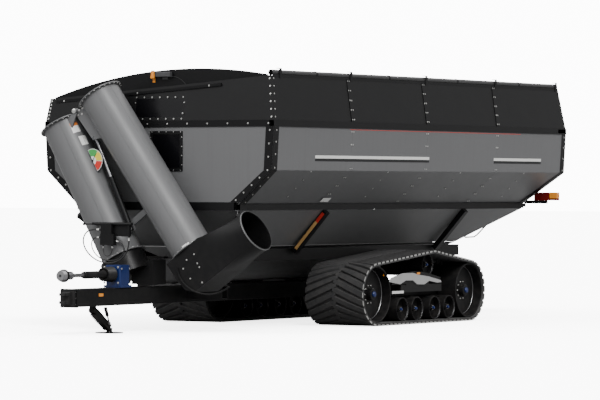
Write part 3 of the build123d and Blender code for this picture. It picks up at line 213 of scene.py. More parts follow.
def relief_group(grain: Grain) -> bpy.types.NodeTree:
    """Builds the group for one kind of fine relief.

    Args:
        grain: which relief it is.

    Returns:
        A group with an input Size, in metres, and an output Height.
    """
    graph, inputs, outputs = new_group(f"{grain.value} relief", {"Size": 0.004}, ["Height"])
    place = graph.add("ShaderNodeTexCoord").outputs["Object"]
    fineness = graph.math("DIVIDE", 1.0, inputs.outputs["Size"])
    if grain is Grain.BRUSHED:
        height = graph.noise(graph.stretched(place, (1.0, 0.06, 1.0)), fineness, 2.0)
    elif grain is Grain.CAST:
        pits = graph.math("POWER", graph.noise(place, fineness, 6.0), 2.0)
        height = graph.math("ADD", pits, graph.noise(place, 60.0, 2.0))
    elif grain is Grain.WOVEN:
        waves = []
        for direction in ("X", "Z"):
            wave = graph.add("ShaderNodeTexWave", bands_direction=direction)
            graph.link(place, wave.inputs["Vector"])
            graph.link(graph.math("MULTIPLY", fineness, 0.31), wave.inputs["Scale"])
            waves.append(wave.outputs["Fac"])
        height = graph.math("ADD", waves[0], waves[1])
    elif grain is Grain.MOULDED:
        height = graph.math("ADD", graph.noise(place, fineness, 2.0), graph.noise(place, 35.0, 3.0))
    else:
        height = graph.math("ADD", graph.noise(place, fineness, 1.0), graph.noise(place, 3.0, 2.0))
    graph.link(height, outputs.inputs["Height"])
    return graph.tree


# ---- Finishes --------------------------------------------------------------------------------
@dataclass(frozen=True)
class Finish:
    """One painted, bare or moulded surface finish.

    The relief's size is in metres. Mottle, dust and streaks are shares of the colour that they change.
    """

    name: str
    colour: Triple
    roughness: float
    slot: str
    metallic: float = 0.0
    coat: float = 0.0
    grain: Grain = Grain.SPRAYED
    grain_size: float = 0.004
    relief: float = 0.12
    relief_depth: float = 0.0008
    mottle: float = 0.25
    dust: float = 0.45
    streaks: float = 0.12
    gloss: float = 0.5
    dust_colour: Triple = (0.30, 0.27, 0.23)

    def material(self, groups: dict[object, bpy.types.NodeTree]) -> bpy.types.Material:
        """Builds the finish's material.

        Args:
            groups: the shared shader groups.

        Returns:
            The new material.
        """
        made = bpy.data.materials.new(self.name)
        made.use_nodes = True
        made.node_tree.nodes.clear()
        graph = Graph(made.node_tree)
        shader = graph.add("ShaderNodeBsdfPrincipled")
        output = graph.add("ShaderNodeOutputMaterial")
        graph.link(shader.outputs[0], output.inputs[0])
        weather = graph.add("ShaderNodeGroup", node_tree=groups["weathering"])
        relief = graph.add("ShaderNodeGroup", node_tree=groups[self.grain])
        relief.inputs["Size"].default_value = self.grain_size
        dark = tuple(channel * 0.55 for channel in self.colour)
        cloud = graph.math("MULTIPLY", weather.outputs["Cloud"], self.mottle)
        streak = graph.math("MULTIPLY", weather.outputs["Streak"], self.streaks)
        dust = graph.math("MULTIPLY", weather.outputs["Dust"], self.dust)
        colour = graph.blend(graph.math("ADD", cloud, streak, clamp=True), self.colour, dark)
        graph.link(graph.blend(dust, colour, self.dust_colour), shader.inputs["Base Color"])
        clouded = graph.math("MULTIPLY", weather.outputs["Cloud"], 0.14)
        rough = graph.math("ADD", clouded, self.roughness - 0.07)
        dusted = graph.math("ADD", rough, graph.math("MULTIPLY", dust, 0.5), clamp=True)
        graph.link(dusted, shader.inputs["Roughness"])
        bump = graph.add("ShaderNodeBump")
        bump.inputs["Strength"].default_value = self.relief
        bump.inputs["Distance"].default_value = self.relief_depth
        graph.link(relief.outputs["Height"], bump.inputs["Height"])
        graph.link(bump.outputs[0], shader.inputs["Normal"])
        shader.inputs["Metallic"].default_value = self.metallic
        shader.inputs["Coat Weight"].default_value = self.coat
        shader.inputs["Coat Roughness"].default_value = 0.12
        shader.inputs["Specular IOR Level"].default_value = self.gloss
        return made


GREY_PAINT = Finish("grey paint", (0.128, 0.129, 0.132), 0.42, "grey_paint", gloss=0.45, mottle=0.14,
                    dust=0.12, streaks=0.15)
BLACK_PAINT = Finish("black paint", (0.0055, 0.0055, 0.0060), 0.40, "black_paint", gloss=0.22, dust=0.03)
WHEEL_PAINT = Finish("wheel paint", (0.0060, 0.0060, 0.0065), 0.45, "wheel_paint", gloss=0.20, dust=0.05)
BLUE_PAINT = Finish("blue paint", (0.005, 0.020, 0.110), 0.32, "blue_paint", gloss=0.50, dust=0.06)
BARE_STEEL = Finish("bare steel", (0.42, 0.42, 0.43), 0.36, "bare_steel", metallic=1.0, grain=Grain.BRUSHED,
                    grain_size=0.0025, relief=0.2, mottle=0.3, dust=0.10)
ZINC = Finish("zinc plate", (0.72, 0.72, 0.70), 0.34, "bare_steel", metallic=1.0, mottle=0.25, dust=0.05)
CAST_IRON = Finish("cast iron", (0.016, 0.016, 0.017), 0.60, "cast_iron", metallic=0.35, grain=Grain.CAST,
                   grain_size=0.006, relief=0.5, relief_depth=0.002, dust=0.05)
TRACK_RUBBER = Finish("track rubber", (0.032, 0.032, 0.033), 0.66, "track_rubber", gloss=0.5,
                      grain=Grain.MOULDED, grain_size=0.006, relief=0.30, relief_depth=0.0012, dust=0.10,
                      mottle=0.3)
# Pale rubber that paints the highlight on the lug ends along the belt's outer edge.
LUG_END_HIGHLIGHT = Finish("painted lug highlight", (0.34, 0.34, 0.33), 0.80, "track_rubber", grain=Grain.MOULDED,
                  grain_size=0.004, relief=0.4, dust=0.15)
HOSE_RUBBER = Finish("hose rubber", (0.010, 0.010, 0.011), 0.50, "hose_rubber", grain=Grain.MOULDED,
                     grain_size=0.003, relief=0.25, dust=0.08)
GUARD_PLASTIC = Finish("guard plastic", (0.008, 0.008, 0.009), 0.45, "guard_plastic", gloss=0.3,
                       grain=Grain.MOULDED, relief=0.15, dust=0.08)
TARP_VINYL = Finish("tarp vinyl", (0.020, 0.020, 0.021), 0.42, "tarp_fabric", gloss=0.6, grain=Grain.WOVEN,
                    grain_size=0.006, relief=0.35, mottle=0.3, dust=0.10, streaks=0.1)
WINDOW_GLASS = Finish("window glass", (0.002, 0.002, 0.003), 0.16, "window_glass", gloss=0.2, relief=0.02,
                      dust=0.03)
AMBER_LENS = Finish("amber lens", (0.85, 0.30, 0.03), 0.18, "amber_lens", relief=0.03, mottle=0.05, dust=0.0)
RED_LENS = Finish("red lens", (0.16, 0.006, 0.005), 0.18, "red_lens", relief=0.03, mottle=0.05, dust=0.0)
LAMP_HOUSING = Finish("lamp housing", (0.055, 0.055, 0.058), 0.45, "lamp_housing", grain=Grain.MOULDED,
                      dust=0.05)
SILVER_PAINT = Finish("silver paint", (0.48, 0.48, 0.48), 0.38, "grey_paint", metallic=0.4, mottle=0.15,
                      dust=0.10)
WHITE_VINYL = Finish("white vinyl", (0.80, 0.80, 0.78), 0.40, "grey_paint", mottle=0.05, dust=0.05)
DARK_VINYL = Finish("dark vinyl", (0.012, 0.012, 0.013), 0.40, "grey_paint", gloss=0.3, mottle=0.05,
                    dust=0.03)
ORANGE_VINYL = Finish("orange vinyl", (0.75, 0.20, 0.02), 0.42, "grey_paint", mottle=0.05, dust=0.05)
TAN_VINYL = Finish("tan vinyl", (0.62, 0.36, 0.13), 0.42, "grey_paint", mottle=0.05, dust=0.05)
GREEN_VINYL = Finish("green vinyl", (0.05, 0.36, 0.08), 0.42, "grey_paint", mottle=0.05, dust=0.05)
YELLOW_VINYL = Finish("yellow vinyl", (0.80, 0.62, 0.05), 0.42, "grey_paint", mottle=0.05, dust=0.05)
RED_VINYL = Finish("red vinyl", (0.62, 0.03, 0.02), 0.42, "grey_paint", mottle=0.05, dust=0.05)
FINISHES = (GREY_PAINT, BLACK_PAINT, WHEEL_PAINT, BLUE_PAINT, BARE_STEEL, CAST_IRON, TRACK_RUBBER,
            HOSE_RUBBER, GUARD_PLASTIC, TARP_VINYL, WINDOW_GLASS, AMBER_LENS, LAMP_HOUSING, RED_LENS)


class Paintshop:
    """Makes each finish's material once and dresses the CAD nodes."""

    def __init__(self) -> None:
        """Builds the shared shader groups."""
        self.groups: dict[object, bpy.types.NodeTree] = {"weathering": weathering_group()}
        for grain in Grain:
            self.groups[grain] = relief_group(grain)
        self.made: dict[str, bpy.types.Material] = {}

    def material(self, finish: Finish) -> bpy.types.Material:
        """Returns a finish's material, and builds it the first time."""
        if finish.name not in self.made:
            self.made[finish.name] = finish.material(self.groups)
        return self.made[finish.name]

    def dress_nodes(self) -> None:
        """Gives every CAD node the finish of its material slot."""
        by_slot = {finish.slot: finish for finish in FINISHES}
        for entry in frame["record"]["subparts"]:
            node = frame["nodes"][entry["node"]]
            material = self.material(by_slot[entry["material_slot"]])
            node.data.materials.clear()
            node.data.materials.append(material)


SHOP = Paintshop()


# ---- Mesh building ---------------------------------------------------------------------------
def axes_at(at: Triple, facing: Triple, side: Triple = (1.0, 0.0, 0.0)) -> Matrix:
    """Builds a placement whose Z axis faces one way.

    Args:
        at: the placement's origin.
        facing: its Z axis.
        side: roughly its X axis.

    Returns:
        The placement's matrix.
    """
    z_axis = Vector(facing).normalized()
    x_axis = Vector(side) - z_axis * Vector(side).dot(z_axis)
    if x_axis.length < 1e-4:
        x_axis = z_axis.orthogonal()
    x_axis.normalize()
    matrix = Matrix((x_axis, z_axis.cross(x_axis), z_axis)).transposed().to_4x4()
    matrix.translation = Vector(at)
    return matrix


def circle_points(radius: float, steps: int, start: float = 0.0) -> list[Pair]:
    """Points evenly spaced round a circle."""
    angles = (start + math.tau * step / steps for step in range(steps))
    return [(radius * math.cos(angle), radius * math.sin(angle)) for angle in angles]


class Piece:
    """A mesh under construction in the row frame, which ends as one object that rides on one body."""

    def __init__(self, name: str, body: str, finish: Finish) -> None:
        """Starts an empty mesh.

        Args:
            name: the object's name.
            body: the CAD body that it rides on.
            finish: its finish.
        """
        self.name = name
        self.body = body
        self.finish = finish
        self.bm = bmesh.new()

    def ring(self, points: list[Vector]) -> list[bmesh.types.BMVert]:
        """Adds the vertices of one ring."""
        return [self.bm.verts.new(point) for point in points]

    def skin(self, rings: list[list[bmesh.types.BMVert]], closed: bool = False) -> None:
        """Joins rings of equal size with faces, and the last to the first if closed."""
        pairs = list(zip(rings, rings[1:])) + ([(rings[-1], rings[0])] if closed else [])
        for lower, upper in pairs:
            count = len(lower)
            for index in range(count):
                after = (index + 1) % count
                self.bm.faces.new((lower[index], lower[after], upper[after], upper[index]))

    def prism(self, outline: list[Pair], place: Matrix, thickness: float, bevel: float = 0.0) -> "Piece":
        """Adds a plate with a given outline.

        Args:
            outline: the outline's points in the placement's XY plane.
            place: the placement.
            thickness: how far it goes along the placement's Z axis.
            bevel: how far its far edge is turned in.

        Returns:
            This piece.
        """
        centre = Vector((sum(p[0] for p in outline), sum(p[1] for p in outline))) / len(outline)
        levels = [(0.0, 0.0), (thickness - bevel, 0.0)] + ([(thickness, bevel)] if bevel else [])
        rings = []
        for height, inset in levels:
            points = []
            for u, v in outline:
                away = Vector((u, v)) - centre
                shrink = 1.0 - inset / max(away.length, 1e-6)
                flat = centre + away * shrink
                points.append(place @ Vector((flat.x, flat.y, height)))
            rings.append(self.ring(points))
        self.skin(rings)
        self.bm.faces.new(list(reversed(rings[0])))
        self.bm.faces.new(rings[-1])
        return self

    def box(self, low: Triple, high: Triple, bevel: float = 0.003) -> "Piece":
        """Adds a box with softened edges between two corners."""
        outline = [(low[0], low[1]), (high[0], low[1]), (high[0], high[1]), (low[0], high[1])]
        place = Matrix.Translation((0.0, 0.0, low[2]))
        return self.prism(outline, place, high[2] - low[2], bevel)

    def lathe(self, profile: list[Pair], place: Matrix, steps: int = 32, loop: bool = False) -> "Piece":
        """Turns a profile of (radius, height) points about the placement's Z axis.

        Args:
            profile: the points, from the axis back to the axis, or a closed loop away from it.
            place: the placement.
            steps: how many sides the turned shape has.
            loop: whether the profile is a closed loop.

        Returns:
            This piece.
        """
        rings: list[list[bmesh.types.BMVert]] = []
        for radius, height in profile:
            circle = circle_points(max(radius, 1e-5), steps)
            rings.append(self.ring([place @ Vector((x, y, height)) for x, y in circle]))
        self.skin(rings, closed=loop)
        if not loop:
            self.bm.faces.new(list(reversed(rings[0])))
            self.bm.faces.new(rings[-1])
        return self

    def tube(self, route: list[Triple], radius: float, sides: int = 12) -> "Piece":
        """Adds a round bar along a route."""
        points = [Vector(point) for point in route]
        rings = []
        side = (points[1] - points[0]).orthogonal()
        for index, point in enumerate(points):
            ahead = points[min(index + 1, len(points) - 1)] - points[max(index - 1, 0)]
            place = axes_at(point, ahead, side)
            side = place.to_3x3() @ Vector((1.0, 0.0, 0.0))
            rings.append(self.ring([place @ Vector((x, y, 0.0)) for x, y in circle_points(radius, sides)]))
        self.skin(rings)
        self.bm.faces.new(list(reversed(rings[0])))
        self.bm.faces.new(rings[-1])
        return self

    def done(self, crease: float = 35.0, closed: bool = True) -> bpy.types.Object:
        """Finishes the mesh and makes it a piece of the cart.

        Args:
            crease: the angle in degrees past which an edge stays sharp.
            closed: whether it is a closed shape, whose faces are turned outwards.

        Returns:
            The new object.
        """
        if closed:
            bmesh.ops.recalc_face_normals(self.bm, faces=self.bm.faces)
        mesh = bpy.data.meshes.new(self.name)
        self.bm.to_mesh(mesh)
        self.bm.free()
        mesh.materials.append(SHOP.material(self.finish))
        mesh.shade_smooth()
        mesh.set_sharp_from_angle(angle=math.radians(crease))
        return place_piece(bpy.data.objects.new(self.name, mesh), self.body)


def place_piece(piece: bpy.types.Object, body: str) -> bpy.types.Object:
    """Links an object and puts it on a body.

    Args:
        piece: the object.
        body: the CAD body that carries it.

    Returns:
        The same object.
    """
    if piece.name not in bpy.context.scene.collection.objects:
        bpy.context.scene.collection.objects.link(piece)
    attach(piece, body)
    LOG.info("piece %s on %s", piece.name, body)
    return piece


# ---- Repeated small parts by Geometry Nodes --------------------------------------------------
@dataclass
class Spot:
    """Where one repeated part sits, which way its top faces and which way its X axis runs."""

    at: Triple
    facing: Triple
    along: Triple = (0.0, 0.0, 1.0)


class Spreader:
    """Sets copies of a small part on many spots with one Geometry Nodes tree."""

    def __init__(self) -> None:
        """Builds the tree."""
        tree = bpy.data.node_groups.new("spread parts", "GeometryNodeTree")
        for name, kind in (("Geometry", "NodeSocketGeometry"), ("Part", "NodeSocketObject"),
                           ("Size", "NodeSocketFloat"), ("Finish", "NodeSocketMaterial")):
            tree.interface.new_socket(name, in_out="INPUT", socket_type=kind)
        tree.interface.new_socket("Geometry", in_out="OUTPUT", socket_type="NodeSocketGeometry")
        graph = Graph(tree)
        inputs, outputs = graph.add("NodeGroupInput"), graph.add("NodeGroupOutput")
        part = graph.add("GeometryNodeObjectInfo", transform_space="ORIGINAL")
        graph.link(inputs.outputs["Part"], part.inputs[0])
        turn = graph.add("FunctionNodeAxesToRotation", primary_axis="Z", secondary_axis="X")
        for name, socket in (("facing", turn.inputs[0]), ("along", turn.inputs[1])):
            attribute = graph.add("GeometryNodeInputNamedAttribute", data_type="FLOAT_VECTOR")
            attribute.inputs[0].default_value = name
            graph.link(attribute.outputs[0], socket)
        points = graph.add("GeometryNodeMeshToPoints")
        spread = graph.add("GeometryNodeInstanceOnPoints")
        realize = graph.add("GeometryNodeRealizeInstances")
        dress = graph.add("GeometryNodeSetMaterial")
        graph.link(inputs.outputs["Geometry"], points.inputs[0])
        graph.link(points.outputs[0], spread.inputs["Points"])
        graph.link(part.outputs["Geometry"], spread.inputs["Instance"])
        graph.link(turn.outputs[0], spread.inputs["Rotation"])
        graph.link(inputs.outputs["Size"], spread.inputs["Scale"])
        graph.link(spread.outputs[0], realize.inputs[0])
        graph.link(realize.outputs[0], dress.inputs["Geometry"])
        graph.link(inputs.outputs["Finish"], dress.inputs["Material"])
        graph.link(dress.outputs[0], outputs.inputs[0])
        self.tree = tree
        self.sockets = {item.name: item.identifier for item in tree.interface.items_tree
                        if item.in_out == "INPUT"}

    def spread(self, name: str, part: bpy.types.Mesh, spots: list[Spot], size: float, body: str,
               finish: Finish) -> bpy.types.Object:
        """Sets a part on every spot and joins the copies into one piece.

        Args:
            name: the new object's name.
            part: the mesh that repeats, standing on its origin along +Z.
            spots: where the copies go.
            size: what the part's mesh is scaled by.
            body: the CAD body that carries them.
            finish: their finish.

        Returns:
            The new object.
        """
        marks = bpy.data.meshes.new(f"{name} spots")
        marks.from_pydata([spot.at for spot in spots], [], [])
        for label in ("facing", "along"):
            values = [number for spot in spots for number in getattr(spot, label)]
            marks.attributes.new(label, "FLOAT_VECTOR", "POINT").data.foreach_set("vector", values)
        carrier = bpy.data.objects.new(f"{name} carrier", marks)
        sample = bpy.data.objects.new(f"{name} sample", part)
        for thing in (carrier, sample):
            bpy.context.scene.collection.objects.link(thing)
        modifier = carrier.modifiers.new("spread", "NODES")
        modifier.node_group = self.tree
        modifier[self.sockets["Part"]] = sample
        modifier[self.sockets["Size"]] = size
        modifier[self.sockets["Finish"]] = SHOP.material(finish)
        depsgraph = bpy.context.evaluated_depsgraph_get()
        mesh = bpy.data.meshes.new_from_object(carrier.evaluated_get(depsgraph))
        mesh.name = name
        carrier.modifiers.clear()
        for thing in (carrier, sample):
            bpy.data.objects.remove(thing)
        if not mesh.materials:
            mesh.materials.append(SHOP.material(finish))
        return place_piece(bpy.data.objects.new(name, mesh), body)


SPREADER = Spreader()


def part_mesh(name: str, build: Callable[[Piece], object]) -> bpy.types.Mesh:
    """Makes a small repeated part's mesh.

    Args:
        name: the mesh's name.
        build: a function that adds the shape to a piece.

    Returns:
        The mesh.
    """
    piece = Piece(name, "", ZINC)
    build(piece)
    bmesh.ops.recalc_face_normals(piece.bm, faces=piece.bm.faces)
    mesh = bpy.data.meshes.new(name)
    piece.bm.to_mesh(mesh)
    piece.bm.free()
    mesh.shade_smooth()
    mesh.set_sharp_from_angle(angle=math.radians(30.0))
    return mesh


def add_hex_bolt(piece: Piece) -> None:
    """Adds a hexagon bolt head of unit radius on its washer."""
    base = Matrix.Identity(4)
    piece.lathe([(0.0, 0.0), (1.35, 0.0), (1.35, 0.16), (0.0, 0.16)], base, 16)
    piece.prism(circle_points(1.0, 6), Matrix.Translation((0.0, 0.0, 0.16)), 0.62, 0.14)


def add_stud(piece: Piece) -> None:
    """Adds a wheel stud of unit radius with its nut."""
    base = Matrix.Identity(4)
    piece.prism(circle_points(1.0, 6), base, 0.8, 0.15)
    piece.lathe([(0.0, 0.8), (0.52, 0.8), (0.52, 1.35), (0.40, 1.45), (0.0, 1.45)], base, 10)


HEX_BOLT = part_mesh("hex bolt", add_hex_bolt)
STUD = part_mesh("wheel stud", add_stud)


def line_spots(start: Triple, end: Triple, spacing: float, facing: Triple) -> list[Spot]:
    """Spots at even spacing along a line.

    Args:
        start: the first spot's place.
        end: the last spot's place.
        spacing: roughly how far apart they are.
        facing: which way they face.

    Returns:
        The spots.
    """
    first, last = Vector(start), Vector(end)
    count = max(1, round((last - first).length / spacing))
    return [Spot(tuple(first.lerp(last, step / count)), facing) for step in range(count + 1)]


def ring_spots(place: Matrix, radius: float, count: int, height: float = 0.0,
               start: float = 0.0) -> list[Spot]:
    """Spots round a circle, all facing along the placement's Z axis.

    Args:
        place: the circle's placement.
        radius: the circle's radius.
        count: how many spots there are.
        height: how far along the Z axis they sit.
        start: the first spot's angle in radians.

    Returns:
        The spots.
    """
    facing = tuple(place.to_3x3() @ Vector((0.0, 0.0, 1.0)))
    circle = circle_points(radius, count, start)
    return [Spot(tuple(place @ Vector((x, y, height))), facing) for x, y in circle]


# ---- Hopper ----------------------------------------------------------------------------------
@dataclass
class Hopper:
    """Hopper, extension, tarp, windows and lamps: bolts, stripes, lips and cloth."""

    front: float = 3.765
    rear: float = -6.555
    seams: tuple[float, ...] = (1.2366, -1.3228, -3.8924)
    band_half: float = 2.300
    band_top: float = 3.400
    knee_half: float = 2.258
    knee: float = 2.680
    foot_half: float = 1.650
    foot: float = 2.117
    shelf: float = 3.510
    lean: float = 0.110
    left_top: float = 4.245
    right_top: float = 3.905
    strip: float = 0.0095
    bolt: float = 0.011
    spots: list[Spot] = field(default_factory=list)

    def lean_in(self, z: float) -> float:
        """How far the extension leans in at a height."""
        return self.lean * (z - self.shelf) / (self.left_top - self.shelf)

    def side_rows(self, x: float, side: int, proud: float, slope_shift: float = 0.0,
                  seam: bool = False) -> None:
        """Adds the bolts down one side row, above and below the knee.

        Args:
            x: where the row is along the cart.
            side: 1 on the left, -1 on the right.
            proud: how far the bolted surface stands off the sheet.
            slope_shift: how far the row's foot is moved along the cart.
            seam: whether it is a seam's row, with few bolts above the knee.
        """
        top = Vector((x, side * (self.band_half + proud - 0.003), self.band_top - 0.06))
        low = Vector((x, side * (self.knee_half + proud), self.knee + 0.04))
        for share in (0.0, 0.35, 1.0) if seam else (0.0, 0.31, 0.64, 1.0):
            self.spots.append(Spot(tuple(top.lerp(low, share)), (0.0, float(side), -0.06 * side)))
        run, rise = self.knee_half - self.foot_half, self.knee - self.foot
        normal = Vector((0.0, side * rise, -run)).normalized()
        start = Vector((x, side * self.knee_half, self.knee)) + normal * proud
        end = Vector((x + slope_shift, side * self.foot_half, self.foot)) + normal * proud
        for share in (0.20, 0.45, 0.70, 0.93):
            self.spots.append(Spot(tuple(start.lerp(end, share)), tuple(normal)))

    def extension_rows(self, x: float, side: int, top: float) -> None:
        """Adds the bolts up one strip of the extension."""
        foot = (x, side * (self.band_half + self.strip), self.shelf + 0.04)
        head = (x, side * (self.band_half - self.lean_in(top) + self.strip), top - 0.04)
        self.spots += line_spots(foot, head, 0.16, (0.0, float(side), 0.12))

    def bolts(self) -> None:
        """Adds the bolts of the seams, corner strips, rails and window frames."""
        for side, top in ((1, self.left_top), (-1, self.right_top)):
            for seam in self.seams:
                for shift in (-0.028, 0.028):
                    self.side_rows(seam + shift, side, 0.0, seam=True)
                    self.extension_rows(seam + shift, side, top)
            for x, shift in ((self.front - 0.075, 0.0), (self.rear + 0.075, 0.440)):
                self.side_rows(x, side, self.strip, shift)
            self.front_row(side, 0.075)
            self.extension_corner(side, top)
            self.middle_rows(side)
        self.spots += line_spots((self.front + 0.012, -2.2, 3.455), (self.front + 0.012, 2.2, 3.455), 0.40,
                                 (1.0, 0.0, 0.0))
        self.window_bolts()
        SPREADER.spread("hopper_bolts", HEX_BOLT, self.spots, self.bolt, "cart", ZINC)

    def front_row(self, side: int, inset: float) -> None:
        """Adds the bolts of one row on the front wall's corner strip."""
        face = self.front + self.strip
        top = (face, side * (self.band_half - inset), self.band_top - 0.06)
        knee = (face, side * (self.knee_half - inset), self.knee)
        foot = (face, side * (self.foot_half - 1.15 * inset), self.foot + 0.07)
        self.spots += line_spots(top, knee, 0.21, (1.0, 0.0, 0.0))
        self.spots += line_spots(knee, foot, 0.21, (1.0, 0.0, 0.0))[1:]

    def extension_corner(self, side: int, top: float) -> None:
        """Adds the bolts up the extension's front and rear corners."""
        for end, sign in ((self.front, -1.0), (self.rear, 1.0)):
            for z_share in range(6):
                z = self.shelf + 0.05 + (top - self.shelf - 0.10) * z_share / 5
                lean = self.lean_in(z)
                x, y = end + sign * lean, side * (self.band_half - lean)
                self.spots.append(Spot((x - sign * 0.001, y - side * 0.045, z), (-sign, 0.0, 0.15)))
                self.spots.append(Spot((x + sign * 0.045, y + side * 0.001, z), (0.0, float(side), 0.15)))

    def middle_rows(self, side: int) -> None:
        """Adds one row of single bolts down the slope in the middle of each bay."""
        ends = (self.front, *self.seams, self.rear + 0.440)
        rise, run = self.knee - self.foot, self.knee_half - self.foot_half
        normal = Vector((0.0, side * rise, -run)).normalized()
        for front, rear in zip(ends, ends[1:]):
            for share in (0.03, 0.28, 0.53, 0.78):
                half, z = self.knee_half - run * share, self.knee - rise * share
                self.spots.append(Spot(((front + rear) / 2, side * half, z), tuple(normal)))

    def window_bolts(self) -> None:
        """Adds the bolts round both window frames."""
        for centre, half, z_low, z_high in ((0.180, 0.290, 2.700, 3.300), (0.010, 0.470, 3.560, 3.880)):
            margin = 0.022
            for z in (z_low - margin, z_high + margin):
                depth = self.front - (self.lean_in(z) if z > self.shelf else 0.0) + 0.0085
                self.spots += line_spots((depth, centre - half, z), (depth, centre + half, z), 0.145,
                                         (1.0, 0.0, 0.0))
            for y in (centre - half - margin, centre + half + margin):
                bottom = self.front - (self.lean_in(z_low) if z_low > self.shelf else 0.0) + 0.0085
                top = self.front - (self.lean_in(z_high) if z_high > self.shelf else 0.0) + 0.0085
                self.spots += line_spots((bottom, y, z_low + 0.07), (top, y, z_high - 0.07), 0.145,
                                         (1.0, 0.0, 0.0))

    def stripe(self, name: str, side: int, spans: tuple[Pair, ...], heights: Pair, finish: Finish) -> None:
        """Adds a vinyl stripe along the hopper's band.

        Args:
            name: the piece's name.
            side: 1 on the left, -1 on the right.
            spans: the stripe's stretches along X, each from its front to its rear end.
            heights: its lower and upper edge.
            finish: its finish.
        """
        piece = Piece(name, "cart", finish)
        slope = (self.band_half - self.knee_half) / (self.band_top - self.knee)
        normal = Vector((0.0, float(side), -slope)).normalized()
        for start, end in spans:
            corner = Vector((start, side * (self.knee_half + slope * (heights[0] - self.knee)), heights[0]))
            length, width = start - end, (heights[1] - heights[0]) * math.hypot(1.0, slope)
            place = axes_at(tuple(corner), tuple(normal), (-1.0, 0.0, 0.0))
            rise = width * side
            outline = [(0.0, 0.0), (length, 0.0), (length, rise), (0.0, rise)]
            piece.prism(outline, place, 0.0012)
        piece.done()

    def stripes(self) -> None:
        """Adds the light and dark stripes on both sides."""
        spans = ((2.42, -1.43), (-3.80, -5.62))
        for word, side in SIDES:
            self.stripe(f"light_stripe_{word}", side, spans, (2.885, 2.935), WHITE_VINYL)
            self.stripe(f"dark_stripe_{word}", side, spans, (2.838, 2.884), DARK_VINYL)
            self.stripe(f"pinstripe_{word}", side, ((1.32, -4.78),), (3.376, 3.384), RED_VINYL)

    def tarp(self) -> None:
        """Winds the tarp into a slightly uneven roll along the left top edge, and straps it."""
        low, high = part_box("tarp_roll")
        y, z = (low[1] + high[1]) / 2, (low[2] + high[2]) / 2
        turns, steps, stations = 26, 22, 60
        inner, outer = 0.010, 0.0470
        count = turns * steps
        rows, width = [], 0.0
        for station in range(stations + 1):
            share = station / stations
            x = low[0] + 0.004 + share * (high[0] - low[0] - 0.008)
            swell = 0.0030 * noise.noise(Vector((x * 1.3, 0.0, 0.5)))
            row = []
            for step in range(count + 1):
                angle = math.tau * step / steps + 2.2
                radius = inner + (outer - inner) * step / count + swell * step / count
                radius += 0.0016 * noise.noise(Vector((x * 5.0, step * 0.21, 3.0))) * step / count
                row.append(Vector((x, y + radius * math.cos(angle), z + radius * math.sin(angle))))
            rows.append(row)
            width += sum((b - a).length for a, b in zip(row, row[1:])) / (stations + 1)
        piece = Piece("tarp_cloth", "cart", TARP_VINYL)
        made = [piece.ring(row) for row in rows]
        for first, second in zip(made, made[1:]):
            for index in range(count):
                piece.bm.faces.new((first[index], first[index + 1], second[index + 1], second[index]))
        cloth = piece.done(crease=80.0, closed=False)
        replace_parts(cloth, "tarp_roll")
        straps = Piece("tarp_straps", "cart", BLACK_PAINT)
        for fraction in (0.15, 0.38, 0.62, 0.86):
            x = low[0] + fraction * (high[0] - low[0])
            place = axes_at((x - 0.02, y, z), (1.0, 0.0, 0.0))
            loop = [(0.0500, 0.0), (0.0500, 0.04), (0.0515, 0.04), (0.0515, 0.0)]
            straps.lathe(loop, place, 24, loop=True)
        straps.done()

    def lamps(self) -> None:
        """Adds the beacon's ribs, the work lamp's lens, and the lamps' cable loop."""
        low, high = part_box("beacon")
        centre = ((low[0] + high[0]) / 2 + 0.002, (low[1] + high[1]) / 2)
        ribs = Piece("beacon_ribs", "cart", AMBER_LENS)
        for step in range(5):
            z = high[2] - 0.018 - step * 0.016
            place = Matrix.Translation((centre[0], centre[1], z))
            radius = 0.0305 + step * 0.0011
            ribs.lathe([(radius, 0.0), (radius + 0.0022, 0.003), (radius, 0.006), (radius - 0.002, 0.003)],
                       place, 28, loop=True)
        ribs.done()
        low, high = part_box("work_light")
        lens = Piece("work_light_lens", "cart", WINDOW_GLASS)
        lens.box((high[0] - 0.004, low[1] + 0.02, high[2] - 0.075),
                 (high[0] - 0.0005, high[1] - 0.02, high[2] - 0.012))
        lens.done()
        cable = Piece("lamp_cable", "cart", HOSE_RUBBER)
        route = []
        for step in range(25):
            share = step / 24
            route.append((high[0] - 0.075, high[1] - 0.03 + 0.33 * share,
                          high[2] - 0.08 - 0.16 * share + 0.05 * math.sin(share * math.pi)))
        cable.tube(route, 0.005, 8)
        cable.done()

    def tail(self) -> None:
        """Adds the amber lenses of the tail lamps and the reflective tape on the rear corners."""
        low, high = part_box("tail_lamps")
        amber = Piece("tail_lamp_amber", "cart", AMBER_LENS)
        for _, side in SIDES:
            low_y, high_y = sorted((side * (high[1] - 0.150), side * (high[1] + 0.001)))
            amber.box((low[0] - 0.001, low_y, high[2] - 0.110), (high[0] + 0.001, high_y, high[2] + 0.001))
        amber.done()
        tape = Piece("rear_tape", "cart", WHITE_VINYL)
        for _, side in SIDES:
            low_y, high_y = sorted((side * (self.band_half + 0.0112), side * (self.band_half + 0.0120)))
            tape.box((self.rear + 0.02, low_y, 3.420), (self.rear + 0.32, high_y, 3.490), 0.0)
        tape.done()

